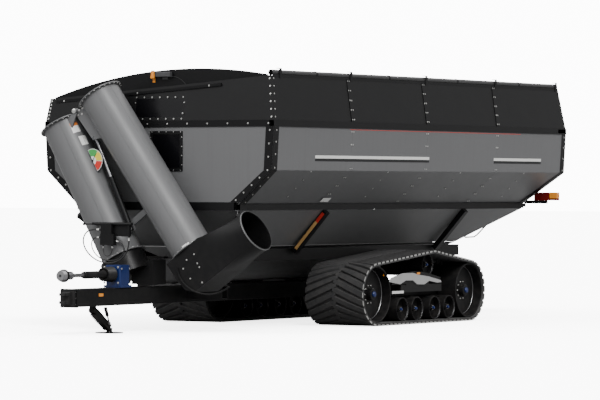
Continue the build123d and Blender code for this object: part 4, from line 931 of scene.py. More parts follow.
    def lip_bar(self) -> None:
        """Adds the folded bar below the front lip, with its bolts."""
        start, end = Vector((3.712, -2.113, 3.846)), Vector((3.688, 1.220, 4.105))
        bar = Piece("front_lip_bar", "cart", BLACK_PAINT)
        along = (end - start).normalized()
        bar.prism([(-0.022, -0.016), (0.022, -0.016), (0.022, 0.016), (-0.022, 0.016)],
                  axes_at(tuple(start), tuple(along), (0.0, 0.0, 1.0)), (end - start).length)
        bar.done()
        spots = [Spot(tuple(start.lerp(end, share) + Vector((0.016, 0.0, 0.0))), (1.0, 0.0, 0.0))
                 for share in (0.05, 0.50, 0.93)]
        SPREADER.spread("lip_bar_bolts", HEX_BOLT, spots, self.bolt, "cart", ZINC)

    def top_lip(self) -> None:
        """Adds the folded lip that the tarp's roll rests behind."""
        lip = Piece("top_lip", "cart", BLACK_PAINT)
        edge = self.band_half - self.lean
        lip.box((self.rear + 0.13, edge + 0.0005, self.left_top - 0.030), (self.front - 0.13, edge + 0.006,
                                                                          self.left_top + 0.022), 0.002)
        lip.done()

    def reflective_tape(self) -> None:
        """Adds the tan and red tape on the front legs and the white tape on the slopes."""
        foot, head, face = Vector((1.014, 1.285)), Vector((1.648, 1.986)), 1.0903
        tan, red = Piece("leg_tape_tan", "cart", TAN_VINYL), Piece("leg_tape_red", "cart", RED_VINYL)
        white = Piece("slope_tape", "cart", WHITE_VINYL)
        rise, run = self.knee - self.foot, self.knee_half - self.foot_half
        for _, side in SIDES:
            for piece, start, end in ((tan, 0.08, 0.74), (red, 0.74, 0.96)):
                low, high = foot.lerp(head, start), foot.lerp(head, end)
                place = axes_at((face, side * low.x, low.y), (1.0, 0.0, 0.0),
                                (0.0, side * (high.x - low.x), high.y - low.y))
                length = (high - low).length
                piece.prism([(0.0, -0.028), (length, -0.028), (length, 0.028), (0.0, 0.028)], place, 0.0015)
            share = 0.88
            at = (1.05, side * (self.knee_half - run * share), self.knee - rise * share)
            place = axes_at(at, (0.0, side * rise, -run), (1.0, 0.0, 0.0))
            white.prism([(0.0, -0.05), (0.26, -0.05), (0.26, 0.05), (0.0, 0.05)], place, 0.0015)
        for piece in (tan, red, white):
            piece.done()

    def rear_hooks(self) -> None:
        """Adds the bent hook rods under the rear slope."""
        rods = Piece("rear_hooks", "cart", BLACK_PAINT)
        for _, side in SIDES:
            y = side * 0.95
            rods.tube([(-5.02, y, 1.535), (-5.05, y, 1.500), (-5.12, y, 1.470), (-5.45, y, 1.475),
                       (-5.56, y, 1.510), (-5.78, y, 1.620), (-5.90, y, 1.680)], 0.014, 10)
        rods.done()

    def build(self) -> None:
        """Builds everything on the hopper."""
        self.bolts()
        self.top_lip()
        self.reflective_tape()
        self.rear_hooks()
        self.lip_bar()
        self.stripes()
        self.tarp()
        self.lamps()
        self.tail()


# ---- Augers ----------------------------------------------------------------------------------
@dataclass
class Augers:
    """Lower and folding upper auger: flange bolts, seams, latch, labels, boot and spout trim."""

    x: float = 4.215
    radius: float = 0.350
    lower_lean: float = 29.0
    upper_lean: float = 36.0
    hood_lift: float = 30.8
    low_top: Pair = (-1.6206, 3.4518)
    low_base: Pair = (-0.3795, 1.2128)
    up_top: Pair = (-0.8629, 3.9345)
    up_end: Pair = (1.0180, 1.3456)
    boot: Pair = (1.2120, 1.0787)
    bolt: float = 0.014

    def direction(self, lean: float) -> Vector:
        """The direction up a tube that leans to the right by an angle in degrees."""
        return Vector((0.0, -math.sin(math.radians(lean)), math.cos(math.radians(lean))))

    def placed(self, end: Pair, facing: Vector) -> Matrix:
        """A placement at a tube's end, looking along it."""
        return axes_at((self.x, *end), tuple(facing), (1.0, 0.0, 0.0))

    def flange_bolts(self) -> None:
        """Adds the bolts round the four flanges."""
        low, up = self.direction(self.lower_lean), self.direction(self.upper_lean)
        pitch, plate = self.radius + 0.030, 0.0165
        lower = ring_spots(self.placed(self.low_top, -low), pitch, 24, plate, 0.13)
        lower += ring_spots(self.placed(self.low_base, low), pitch, 24, plate, 0.13)
        SPREADER.spread("lower_flange_bolts", HEX_BOLT, lower, self.bolt, "cart", ZINC)
        upper = ring_spots(self.placed(self.up_top, -up), pitch, 24, plate, 0.13)
        upper += ring_spots(self.placed(self.up_end, up), pitch, 24, plate, 0.13)
        SPREADER.spread("upper_flange_bolts", HEX_BOLT, upper, self.bolt, "upper_auger", ZINC)

    def weld_seams(self) -> None:
        """Adds the lengthwise weld seam and the stiffening ribs of each tube."""
        for name, body, start, lean, length in (
                ("lower_tube_seam", "cart", self.low_base, self.lower_lean, 2.50),
                ("upper_tube_seam", "upper_auger", self.up_end, self.upper_lean, 3.14)):
            facing = self.direction(lean)
            base = Vector((self.x, *start))
            side = facing.cross(Vector((1.0, 0.0, 0.0)))
            seam = Piece(name, body, GREY_PAINT)
            for turn in (24.0, -38.0, 70.0):
                angle = math.radians(turn)
                out = Vector((1.0, 0.0, 0.0)) * math.cos(angle) + side * math.sin(angle)
                route = [tuple(base + facing * (0.05 + length * step / 12) + out * (self.radius - 0.0005))
                         for step in range(13)]
                seam.tube(route, 0.0042, 8)
            seam.done()

    def patch(self, piece: Piece, start: Pair, lean: float, span: Pair, angles: Pair,
              thickness: float) -> None:
        """Adds a thin curved patch that lies on a tube.

        Args:
            piece: the piece that it is added to.
            start: the tube's lower end.
            lean: the tube's lean in degrees.
            span: the patch's ends along the tube.
            angles: its edges round the tube, in degrees from the +X side.
            thickness: how thick it is.
        """
        facing = self.direction(lean)
        side = facing.cross(Vector((1.0, 0.0, 0.0)))
        base = Vector((self.x, *start))
        steps = 8
        inner, outer = [], []
        for reach, target in ((self.radius - 0.001, inner), (self.radius + thickness, outer)):
            for distance in span:
                row = []
                for step in range(steps + 1):
                    angle = math.radians(angles[0] + (angles[1] - angles[0]) * step / steps)
                    out = Vector((math.cos(angle), 0.0, 0.0)) + side * math.sin(angle)
                    row.append(base + facing * distance + out * reach)
                target.append(row)
        rings = []
        for step in range(steps + 1):
            rings.append(piece.ring([inner[0][step], inner[1][step], outer[1][step], outer[0][step]]))
        piece.skin(rings)
        piece.bm.faces.new(list(reversed(rings[0])))
        piece.bm.faces.new(rings[-1])

    def labels(self) -> None:
        """Adds plain coloured labels without lettering, and a sector dial, on the lower tube."""
        for name, finish, span, angles in (
                ("label_orange", ORANGE_VINYL, (2.36, 2.42), (48.0, 72.0)),
                ("label_white_top", WHITE_VINYL, (2.24, 2.36), (48.0, 72.0)),
                ("label_white_mid", WHITE_VINYL, (1.99, 2.16), (57.0, 80.0))):
            piece = Piece(name, "cart", finish)
            self.patch(piece, self.low_base, self.lower_lean, span, angles, 0.0012)
            piece.done()
        strip = Piece("label_reflector", "upper_auger", WHITE_VINYL)
        self.patch(strip, self.up_end, self.upper_lean, (0.022, 0.062), (8.0, 30.0), 0.0012)
        strip.done()
        self.gauge()

    def gauge(self) -> None:
        """Adds the half-round fill gauge on the lower tube's left side."""
        facing = self.direction(self.lower_lean)
        side = facing.cross(Vector((1.0, 0.0, 0.0)))
        centre = Vector((self.x + 0.165, *self.low_base)) + facing * 1.67 + side * (self.radius - 0.010)
        place = axes_at(tuple(centre), (1.0, 0.0, 0.0), tuple(side))
        up = 1.0 if (place.to_3x3() @ Vector((0.0, 1.0, 0.0))).z > 0 else -1.0
        for name, finish, radii, arc, heights in (
                ("gauge_plate", WHITE_VINYL, (0.000, 0.200), (-90.0, 90.0), (0.0, 0.004)),
                ("gauge_green", GREEN_VINYL, (0.075, 0.190), (30.0, 88.0), (0.004, 0.006)),
                ("gauge_yellow", YELLOW_VINYL, (0.075, 0.190), (-28.0, 28.0), (0.004, 0.006)),
                ("gauge_red", RED_VINYL, (0.075, 0.190), (-88.0, -32.0), (0.004, 0.006))):
            sector = Piece(name, "cart", finish)
            angles = [math.radians(arc[0] + (arc[1] - arc[0]) * step / 12) for step in range(13)]
            inner = [(radii[0] * math.cos(a), up * radii[0] * math.sin(a)) for a in angles]
            outer = [(radii[1] * math.cos(a), up * radii[1] * math.sin(a)) for a in angles]
            rings = []
            for near, far in zip(inner, outer):
                corners = ((near, heights[0]), (far, heights[0]), (far, heights[1]), (near, heights[1]))
                rings.append(sector.ring([place @ Vector((*point, height)) for point, height in corners]))
            sector.skin(rings)
            sector.bm.faces.new(list(reversed(rings[0])))
            sector.bm.faces.new(rings[-1])
            bmesh.ops.remove_doubles(sector.bm, verts=sector.bm.verts, dist=1e-5)
            sector.done()
        pointer = Piece("gauge_pointer", "cart", BLACK_PAINT)
        pointer.prism([(-0.02, -0.006), (0.15, -0.003), (0.15, 0.003), (-0.02, 0.006)],
                      place @ Matrix.Translation((0.0, 0.0, 0.006)) @ Matrix.Rotation(0.5, 4, "Z"), 0.003)
        pointer.lathe([(0.0, 0.004), (0.018, 0.004), (0.015, 0.012), (0.0, 0.013)], place, 20)
        pointer.done()

    def latch(self) -> None:
        """Adds the end caps of the hinge's pin and the bolts of its brackets."""
        joints = frame["record"]["behaviour"]["joints"]
        hinge = next(joint for joint in joints if joint["name"] == "auger_fold")
        y, z = hinge["pos_m"][1], hinge["pos_m"][2]
        caps = Piece("hinge_pin_caps", "upper_auger", ZINC)
        for shift, facing in ((0.241, 1.0), (-0.241, -1.0)):
            place = axes_at((self.x + shift, y, z), (facing, 0.0, 0.0))
            caps.lathe([(0.0, -0.004), (0.040, -0.004), (0.040, 0.006), (0.030, 0.012), (0.0, 0.012)],
                       place, 24)
        caps.done()
        spots = []
        for _, side in SIDES:
            for dy, dz in ((0.07, 0.01), (0.14, 0.05), (0.05, -0.07), (0.13, -0.05)):
                spots.append(Spot((self.x + side * 0.191, y + dy, z + dz), (float(side), 0.0, 0.0)))
        SPREADER.spread("hinge_bolts", HEX_BOLT, spots, self.bolt, "upper_auger", ZINC)

    def boot_trim(self) -> None:
        """Adds the bolts and curved guard rod of the boot, and the spout's rim."""
        low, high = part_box("discharge_boot")
        middle = (low[0] + high[0]) / 2
        spots = []
        for sign in (1.0, -1.0):
            face = middle + sign * (high[0] - low[0]) / 2
            for y, z in ((1.261, 1.300), (1.116, 1.205), (1.328, 1.150), (1.367, 1.090), (1.050, 1.060),
                         (1.190, 0.900), (1.420, 0.840)):
                spots.append(Spot((face, y, z), (sign, 0.0, 0.0)))
        SPREADER.spread("boot_bolts", HEX_BOLT, spots, 0.011, "upper_auger", ZINC)
        guard = Piece("boot_guard_rod", "upper_auger", BLACK_PAINT)
        route = []
        for step in range(33):
            angle = math.radians(186.0 + 128.0 * step / 32)
            route.append((high[0] + 0.016, 1.540 + 0.600 * math.cos(angle), 1.120 + 0.470 * math.sin(angle)))
        guard.tube(route, 0.012, 10)
        guard.done()
        lift = math.radians(self.hood_lift)
        along = Vector((0.0, math.cos(lift), math.sin(lift)))
        rim = Piece("spout_rim", "spout", GREY_PAINT)
        centre = Vector((self.x, *self.boot)) + along * 1.198
        place = axes_at(tuple(centre), tuple(along), (1.0, 0.0, 0.0))
        rim.lathe([(0.3605, -0.020), (0.3680, -0.014), (0.3680, 0.000), (0.3605, 0.006)], place, 56,
                  loop=True)
        rim.done()

    def build(self) -> None:
        """Builds everything on the augers."""
        self.flange_bolts()
        self.weld_seams()
        self.labels()
        self.latch()
        self.boot_trim()


# ---- Hoses -----------------------------------------------------------------------------------
@dataclass
class Hose:
    """A hose or harness that hangs below the bar between two glands."""

    name: str
    node: str
    route: tuple[Triple, ...]
    length: float
    diameter: float
    stiffness: str

    def build(self) -> bpy.types.Object:
        """Returns:
            The curve object.
        """
        curve = bpy.data.curves.new(self.name, "CURVE")
        curve.dimensions = "3D"
        curve.bevel_depth = self.diameter / 2
        curve.bevel_resolution = 5
        curve.resolution_u = 14
        curve.use_fill_caps = True
        spline = curve.splines.new("NURBS")
        spline.points.add(len(self.route) - 1)
        for point, place in zip(spline.points, self.route):
            point.co = (*place, 1.0)
        spline.order_u = 3
        spline.use_endpoint_u = True
        curve.materials.append(SHOP.material(HOSE_RUBBER))
        hose = place_piece(bpy.data.objects.new(self.name, curve), "cart")
        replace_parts(hose, self.node)
        return hose


@dataclass
class Hydraulics:
    """The two hoses and the harness, with their crimped end fittings."""

    bar_x: float = 4.665
    rack_x: float = 4.690

    def hoses(self) -> list[Hose]:
        """The three free lines.

        Returns:
            The two hoses and the harness.
        """
        x, rack = self.bar_x, self.rack_x
        long_route = ((x, 0.040, 1.560), (x + 0.012, 0.048, 1.420), (x + 0.035, -0.010, 1.265),
                      (x + 0.060, -0.140, 1.165), (x + 0.072, -0.320, 1.130), (x + 0.070, -0.505, 1.160),
                      (x + 0.060, -0.680, 1.240), (x + 0.048, -0.820, 1.375), (x + 0.036, -0.868, 1.530),
                      (x + 0.030, -0.800, 1.655), (x + 0.025, -0.675, 1.696), (x + 0.025, -0.540, 1.690))
        short_route = ((rack, -0.190, 1.500), (rack + 0.006, -0.095, 1.482), (rack + 0.010, -0.025, 1.395),
                       (rack + 0.016, -0.050, 1.272), (rack + 0.022, -0.160, 1.192),
                       (rack + 0.026, -0.320, 1.172), (rack + 0.022, -0.480, 1.200),
                       (rack + 0.014, -0.615, 1.285), (rack + 0.008, -0.690, 1.400),
                       (rack + 0.004, -0.690, 1.505), (rack + 0.002, -0.630, 1.560), (rack, -0.540, 1.560))
        harness_route = ((rack + 0.012, -0.450, 1.415), (rack + 0.014, -0.456, 1.345),
                         (rack + 0.016, -0.428, 1.272), (rack + 0.018, -0.358, 1.244),
                         (rack + 0.016, -0.296, 1.282),
                         (rack + 0.014, -0.268, 1.350), (rack + 0.012, -0.274, 1.415))
        return [Hose("hose_long", "hydraulic_hose_a", long_route, 1.775, 0.024, "stiff"),
                Hose("hose_short", "hydraulic_hose_b", short_route, 1.335, 0.020, "stiff"),
                Hose("harness", "light_harness", harness_route, 0.422, 0.014, "medium")]

    def fitting(self, piece: Piece, at: Triple, towards: Triple, radius: float) -> None:
        """Adds a crimped ferrule and a hexagon nut round the start of a hose.

        Args:
            piece: the piece that it is added to.
            at: the hose's end.
            towards: the next point of its route.
            radius: the hose's radius.
        """
        place = axes_at(at, tuple(Vector(towards) - Vector(at)))
        piece.prism(circle_points(radius * 1.55, 6), place, radius * 1.3, radius * 0.2)
        shape = ((1.02, 1.2), (1.28, 1.2), (1.28, 2.6), (1.20, 2.8), (1.28, 3.0), (1.28, 4.2), (1.02, 4.4))
        profile = [(radius * wide, radius * along) for wide, along in shape]
        piece.lathe(profile, place, 24, loop=True)

    def build(self) -> None:
        """Builds the lines and their fittings."""
        fittings = Piece("hose_fittings", "cart", ZINC)
        for hose in self.hoses():
            hose.build()
            self.fitting(fittings, hose.route[0], hose.route[1], hose.diameter / 2)
            self.fitting(fittings, hose.route[-1], hose.route[-2], hose.diameter / 2)
        fittings.done()


# ---- Tracks ----------------------------------------------------------------------------------
@dataclass
class Wheel:
    """One wheel set's turned trim: rim lips, hub rings, caps and studs, and on the big wheels a bright steel
    ring that is a painted highlight on the disc's edge.
    """

    body: str
    node: str
    x: float
    z: float
    radius: float
    dish: float
    studs: int
    inset: float = 0.043

    def build(self, track_inner: float, track_outer: float, side: int) -> None:
        """Builds the trim on the wheel set's outer and inner face.

        Args:
            track_inner: the track's inner edge.
            track_outer: the track's outer edge.
            side: 1 on the left, -1 on the right.
        """
        # Bright steel rings: the rim lips of the small wheels, and on the big wheels a painted highlight
        # ring on the disc.
        lips = Piece(f"{self.node}_disc_edges", self.body, BARE_STEEL)
        dark = Piece(f"{self.node}_rim_lips", self.body, WHEEL_PAINT)
        caps = Piece(f"{self.node}_hub_caps", self.body, BLUE_PAINT)
        rings = Piece(f"{self.node}_hub_rings", self.body, WHEEL_PAINT)
        spots: list[Spot] = []
        big = self.radius > 0.3
        rim = self.radius - (0.026 if big else 0.018)
        cap = self.radius * (0.10 if big else 0.12)
        for face, sign in ((track_outer - self.inset, 1.0), (track_inner + self.inset, -1.0)):
            facing = (0.0, side * sign, 0.0)
            place = axes_at((self.x, side * face, self.z), facing, (1.0, 0.0, 0.0))
            dark.lathe([(rim + 0.004, 0.0), (rim + 0.006, 0.0035), (self.radius - 0.006, 0.0035),
                        (self.radius - 0.004, 0.0)], place, 72 if big else 40, loop=True)
            if not big:
                lips.lathe([(rim - 0.0005, -0.012), (rim + 0.0035, -0.001), (rim + 0.0045, 0.0015),
                            (rim + 0.0045, -0.012)], place, 40, loop=True)
            boss = -self.dish * 0.45
            rings.lathe([(0.0, boss), (self.radius * 0.20, boss), (self.radius * 0.20, boss + 0.006),
                         (self.radius * 0.18, boss + 0.010), (0.0, boss + 0.010)], place, 40)
            caps.lathe([(0.0, boss + 0.009), (cap, boss + 0.009), (cap, boss + 0.030),
                        (cap * 0.85, boss + 0.040), (cap * 0.3, boss + 0.044), (0.0, boss + 0.044)], place,
                        32)
            spots += ring_spots(place, self.radius * (0.32 if big else 0.165), self.studs,
                                -self.dish - 0.001 if big else boss + 0.009)
            if big:
                # Bright bare-steel ring on the disc floor: a painted highlight along the disc's edge
                # stiffener.
                edge = rim - 0.040
                lips.lathe([(edge, -self.dish - 0.001), (edge + 0.003, -self.dish + 0.004),
                            (edge + 0.007, -self.dish + 0.004), (edge + 0.010, -self.dish - 0.001)],
                           place, 72, loop=True)
        for piece in (lips, dark, caps, rings):
            piece.done()
        SPREADER.spread(f"{self.node}_studs", STUD, spots, 0.015 if big else 0.006, self.body, ZINC)


@dataclass
class TrackUnit:
    """One track: belt with lugs and guide teeth, and the trim of its wheels and frame."""

    word: str
    side: int
    inner: float = 1.034
    outer: float = 2.193
    thickness: float = 0.060
    carcass: float = 0.022
    front_x: float = 0.185
    rear_x: float = -3.085
    wheel_z: float = 0.550
    wheel_radius: float = 0.490
    carrier: Triple = (-1.785, 1.032, 0.200)
    roller_xs: tuple[float, ...] = (-0.715, -1.235, -1.855, -2.375)
    roller_z: float = 0.270
    roller_radius: float = 0.210
    lug_count: int = 70
    slant: float = -0.384

    @property
    def body(self) -> str:
        """The CAD body that rocks with this track."""
        return f"track_{self.word}"

    @property
    def middle(self) -> float:
        """The belt's middle, along Y."""
        return self.side * (self.inner + self.outer) / 2

    def path(self, offset: float) -> tuple[list[float], list[tuple[Vector, Vector]]]:
        """Follows the belt once round its wheels.

        Args:
            offset: how far outside the wheels the path lies.

        Returns:
            The distance run at each point, and the points as (place, outward direction) in the XZ plane.
        """
        circles = [(self.front_x, self.wheel_z, self.wheel_radius),
                   (self.rear_x, self.wheel_z, self.wheel_radius), self.carrier]
        dense: list[tuple[Vector, Vector]] = []
        for step in range(1440):
            angle = math.tau * step / 1440
            out = Vector((math.cos(angle), math.sin(angle)))
            x, z, radius = max(circles, key=lambda c: c[0] * out.x + c[1] * out.y + c[2])
            dense.append((Vector((x, z)) + out * (radius + offset), out))
        dense.append(dense[0])
        runs = [0.0]
        for (before, _), (after, _) in zip(dense, dense[1:]):
            runs.append(runs[-1] + (after - before).length)
        return runs, dense

    def locate(self, runs: list[float], dense: list[tuple[Vector, Vector]],
               distance: float) -> tuple[Vector, Vector]:
        """Finds the place and the outward direction at a distance along a path."""
        index = min(bisect_right(runs, distance), len(runs) - 1)
        share = (distance - runs[index - 1]) / max(runs[index] - runs[index - 1], 1e-9)
        place = dense[index - 1][0].lerp(dense[index][0], share)
        return place, dense[index - 1][1].lerp(dense[index][1], share).normalized()

    def loop(self, offset: float, count: int) -> list[tuple[Vector, Vector]]:
        """Evenly spaced points round the belt's path and the way out at each.

        Args:
            offset: how far outside the wheels the path lies.
            count: how many points there are.

        Returns:
            The points as (place, outward direction) in the XZ plane.
        """
        runs, dense = self.path(offset)
        return [self.locate(runs, dense, runs[-1] * step / count) for step in range(count)]

    def wrap(self, piece: bpy.types.Object) -> None:
        """Bends a piece that lies flat, with X along the belt and Z out of it, round the belt's path."""
        runs, dense = self.path(self.carcass)
        for vertex in piece.data.vertices:
            along, across, height = vertex.co
            place, out = self.locate(runs, dense, (-along) % runs[-1])
            vertex.co = (place.x + out.x * height, across, place.y + out.y * height)
        piece.data.update()

    def belt(self) -> None:
        """Builds the belt's carcass, which stands for the CAD belt."""
        piece = Piece(f"belt_carcass_{self.word}", self.body, TRACK_RUBBER)
        half = (self.outer - self.inner) / 2 - 0.001
        round_off = 0.007
        section = [(-half, 0.004), (-half + 0.003, 0.0008), (half - 0.003, 0.0008), (half, 0.004),
                   (half, self.carcass - round_off), (half - round_off, self.carcass),
                   (-half + round_off, self.carcass), (-half, self.carcass - round_off)]
        rings = []
        for place, out in self.loop(0.0, 260):
            rings.append(piece.ring([Vector((place.x + out.x * h, self.middle + across, place.y + out.y * h))
                                     for across, h in section]))
        piece.skin(rings, closed=True)
        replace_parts(piece.done(crease=50.0), f"belt_{self.word}")

    def add_lug(self, piece: Piece, flip: int) -> None:
        """Adds one slanting lug, from the belt's edge to just past its middle.

        Args:
            piece: the piece that it is added to.
            flip: 1 for the lug on one side of the middle, -1 for the other.
        """
        half = (self.outer - self.inner) / 2 - 0.004
        height = self.thickness - self.carcass - 0.001
        stations = []
        for step in range(8):
            across = half - (half + 0.035) * step / 7
            stations.append((self.slant * (half - across), 0.060 - 0.010 * step / 7, across * flip))
        levels = []
        for level, turned_in in ((-0.002, 0.0), (height * 0.85, 0.012), (height, 0.016)):
            low = [(middle - wide + turned_in, across) for middle, wide, across in stations]
            high = [(middle + wide - turned_in, across) for middle, wide, across in stations]
            levels.append(piece.ring([Vector((u, v, level)) for u, v in low + high[::-1]]))
        piece.skin(levels)
        for ring in (levels[0], levels[-1]):
            for index in range(7):
                piece.bm.faces.new((ring[index], ring[index + 1], ring[14 - index], ring[15 - index]))

    def flat_spots(self, phase: float) -> list[Spot]:
        """Evenly spaced spots along the belt laid flat, a share of one spacing on from its start."""
        length = self.path(self.carcass)[0][-1]
        spacing = length / self.lug_count
        return [Spot(((index + phase) * spacing, self.middle, 0.0), (0.0, 0.0, 1.0), (1.0, 0.0, 0.0))
                for index in range(self.lug_count)]

    def around(self, name: str, add: Callable[[Piece], object], phase: float, finish: Finish) -> None:
        """Repeats a small part round the belt.

        Args:
            name: the new piece's name.
            add: a function that adds one copy to a piece.
            phase: how far on from the belt's start the first copy is, as a share of the spacing.
            finish: the copies' finish.
        """
        mesh = part_mesh(f"{name} sample", add)
        piece = SPREADER.spread(name, mesh, self.flat_spots(phase), 1.0, self.body, finish)
        self.wrap(piece)
        bpy.data.meshes.remove(mesh)

    def lugs(self) -> None:
        """Sets the slanting lugs and the inner guide teeth round the belt."""
        for name, flip, phase in (("first", self.side, 0.0), ("second", -self.side, 0.5)):
            self.around(f"belt_lugs_{name}_{self.word}", lambda piece, flip=flip: self.add_lug(piece, flip),
                        phase, TRACK_RUBBER)
        outline = [(-0.045, -0.035), (0.045, -0.035), (0.045, 0.035), (-0.045, 0.035)]
        inwards = Matrix.Translation((0.0, 0.0, -self.carcass + 0.001)) @ Matrix.Rotation(math.pi, 4, "X")
        self.around(f"belt_guides_{self.word}", lambda piece: piece.prism(outline, inwards, 0.055, 0.018),
                    0.25, TRACK_RUBBER)

    def paint_lug_highlights(self) -> None:
        """Adds pale strips on the lug ends along the belt's outer edge: a painted highlight on the lugs'
        edges.
        """
        half = self.side * ((self.outer - self.inner) / 2 - 0.0035)
        low, high = sorted((half, half - self.side * 0.004))
        top = self.thickness - self.carcass - 0.005
        # A pale strip on each lug end: painted highlight.
        self.around(f"lug_scuffs_{self.word}",
                    lambda piece: piece.box((-0.042, low, 0.006), (0.042, high, top), 0.002), 0.0, LUG_END_HIGHLIGHT)

    def wheels(self) -> None:
        """Builds the trim of the wheels, the carrier and the rollers."""
        sets = [Wheel(f"front_wheel_{self.word}", f"front_wheel_{self.word}", self.front_x, self.wheel_z,
                      self.wheel_radius, 0.150, 10),
                Wheel(f"rear_wheel_{self.word}", f"rear_wheel_{self.word}", self.rear_x, self.wheel_z,
                      self.wheel_radius, 0.150, 10),
                Wheel(f"carrier_{self.word}", f"carrier_{self.word}", self.carrier[0], self.carrier[1],
                      self.carrier[2], 0.090, 6, 0.150)]
        for index, x in enumerate(self.roller_xs, start=1):
            name = f"roller_{index}_{self.word}"
            sets.append(Wheel(name, name, x, self.roller_z, self.roller_radius, 0.110, 6))
        for wheel in sets:
            wheel.build(self.inner, self.outer, self.side)

    def wing(self) -> None:
        """Adds the silver wing cover and the plain white plate on the side arm."""
        outline = ((-0.339, 0.753), (-0.709, 0.706), (-0.908, 0.770), (-1.161, 0.765), (-1.309, 0.693),
                   (-1.565, 0.687), (-1.743, 0.747), (-2.023, 0.708), (-2.178, 0.713), (-2.153, 0.751),
                   (-1.718, 0.824), (-1.411, 0.855), (-1.160, 0.897), (-0.810, 0.897), (-0.411, 0.824))
        cover = Piece(f"wing_cover_{self.word}", self.body, SILVER_PAINT)
        face = self.side * (self.outer - 0.108)
        rings = []
        for depth in (0.0, 0.016, 0.020):
            shrink = 0.006 if depth > 0.018 else 0.0
            rings.append(cover.ring([Vector((x * (1 - shrink) - 1.2 * shrink, face + self.side * depth,
                                             z * (1 - shrink) + 0.8 * shrink)) for x, z in outline]))
        cover.skin(rings)
        for ring in (rings[0], rings[-1]):
            cover.bm.faces.new(ring)
        bmesh.ops.triangulate(cover.bm, faces=[one for one in cover.bm.faces if len(one.verts) > 4])
        cover.done()
        plate = Piece(f"arm_plate_{self.word}", self.body, WHITE_VINYL)
        low_y, high_y = sorted((face, face + self.side * 0.003))
        plate.box((-0.86, low_y, 0.545), (-0.46, high_y, 0.590), 0.0)
        plate.done()

    def frame_trim(self) -> None:
        """Adds the reflectors, the wing cover and the plate of the side arm."""
        amber = Piece(f"track_reflectors_{self.word}", self.body, AMBER_LENS)
        face = self.outer - 0.086
        for x, z in ((-0.165, 0.880), (-1.345, 0.885)):
            low_y, high_y = sorted((self.side * (face - 0.004), self.side * (face + 0.006)))
            amber.box((x - 0.05, low_y, z - 0.018), (x + 0.05, high_y, z + 0.018))
        amber.done()
        self.wing()

    def build(self) -> None:
        """Builds everything on this track."""
        self.belt()
        self.lugs()
        self.paint_lug_highlights()
        self.wheels()
        self.frame_trim()


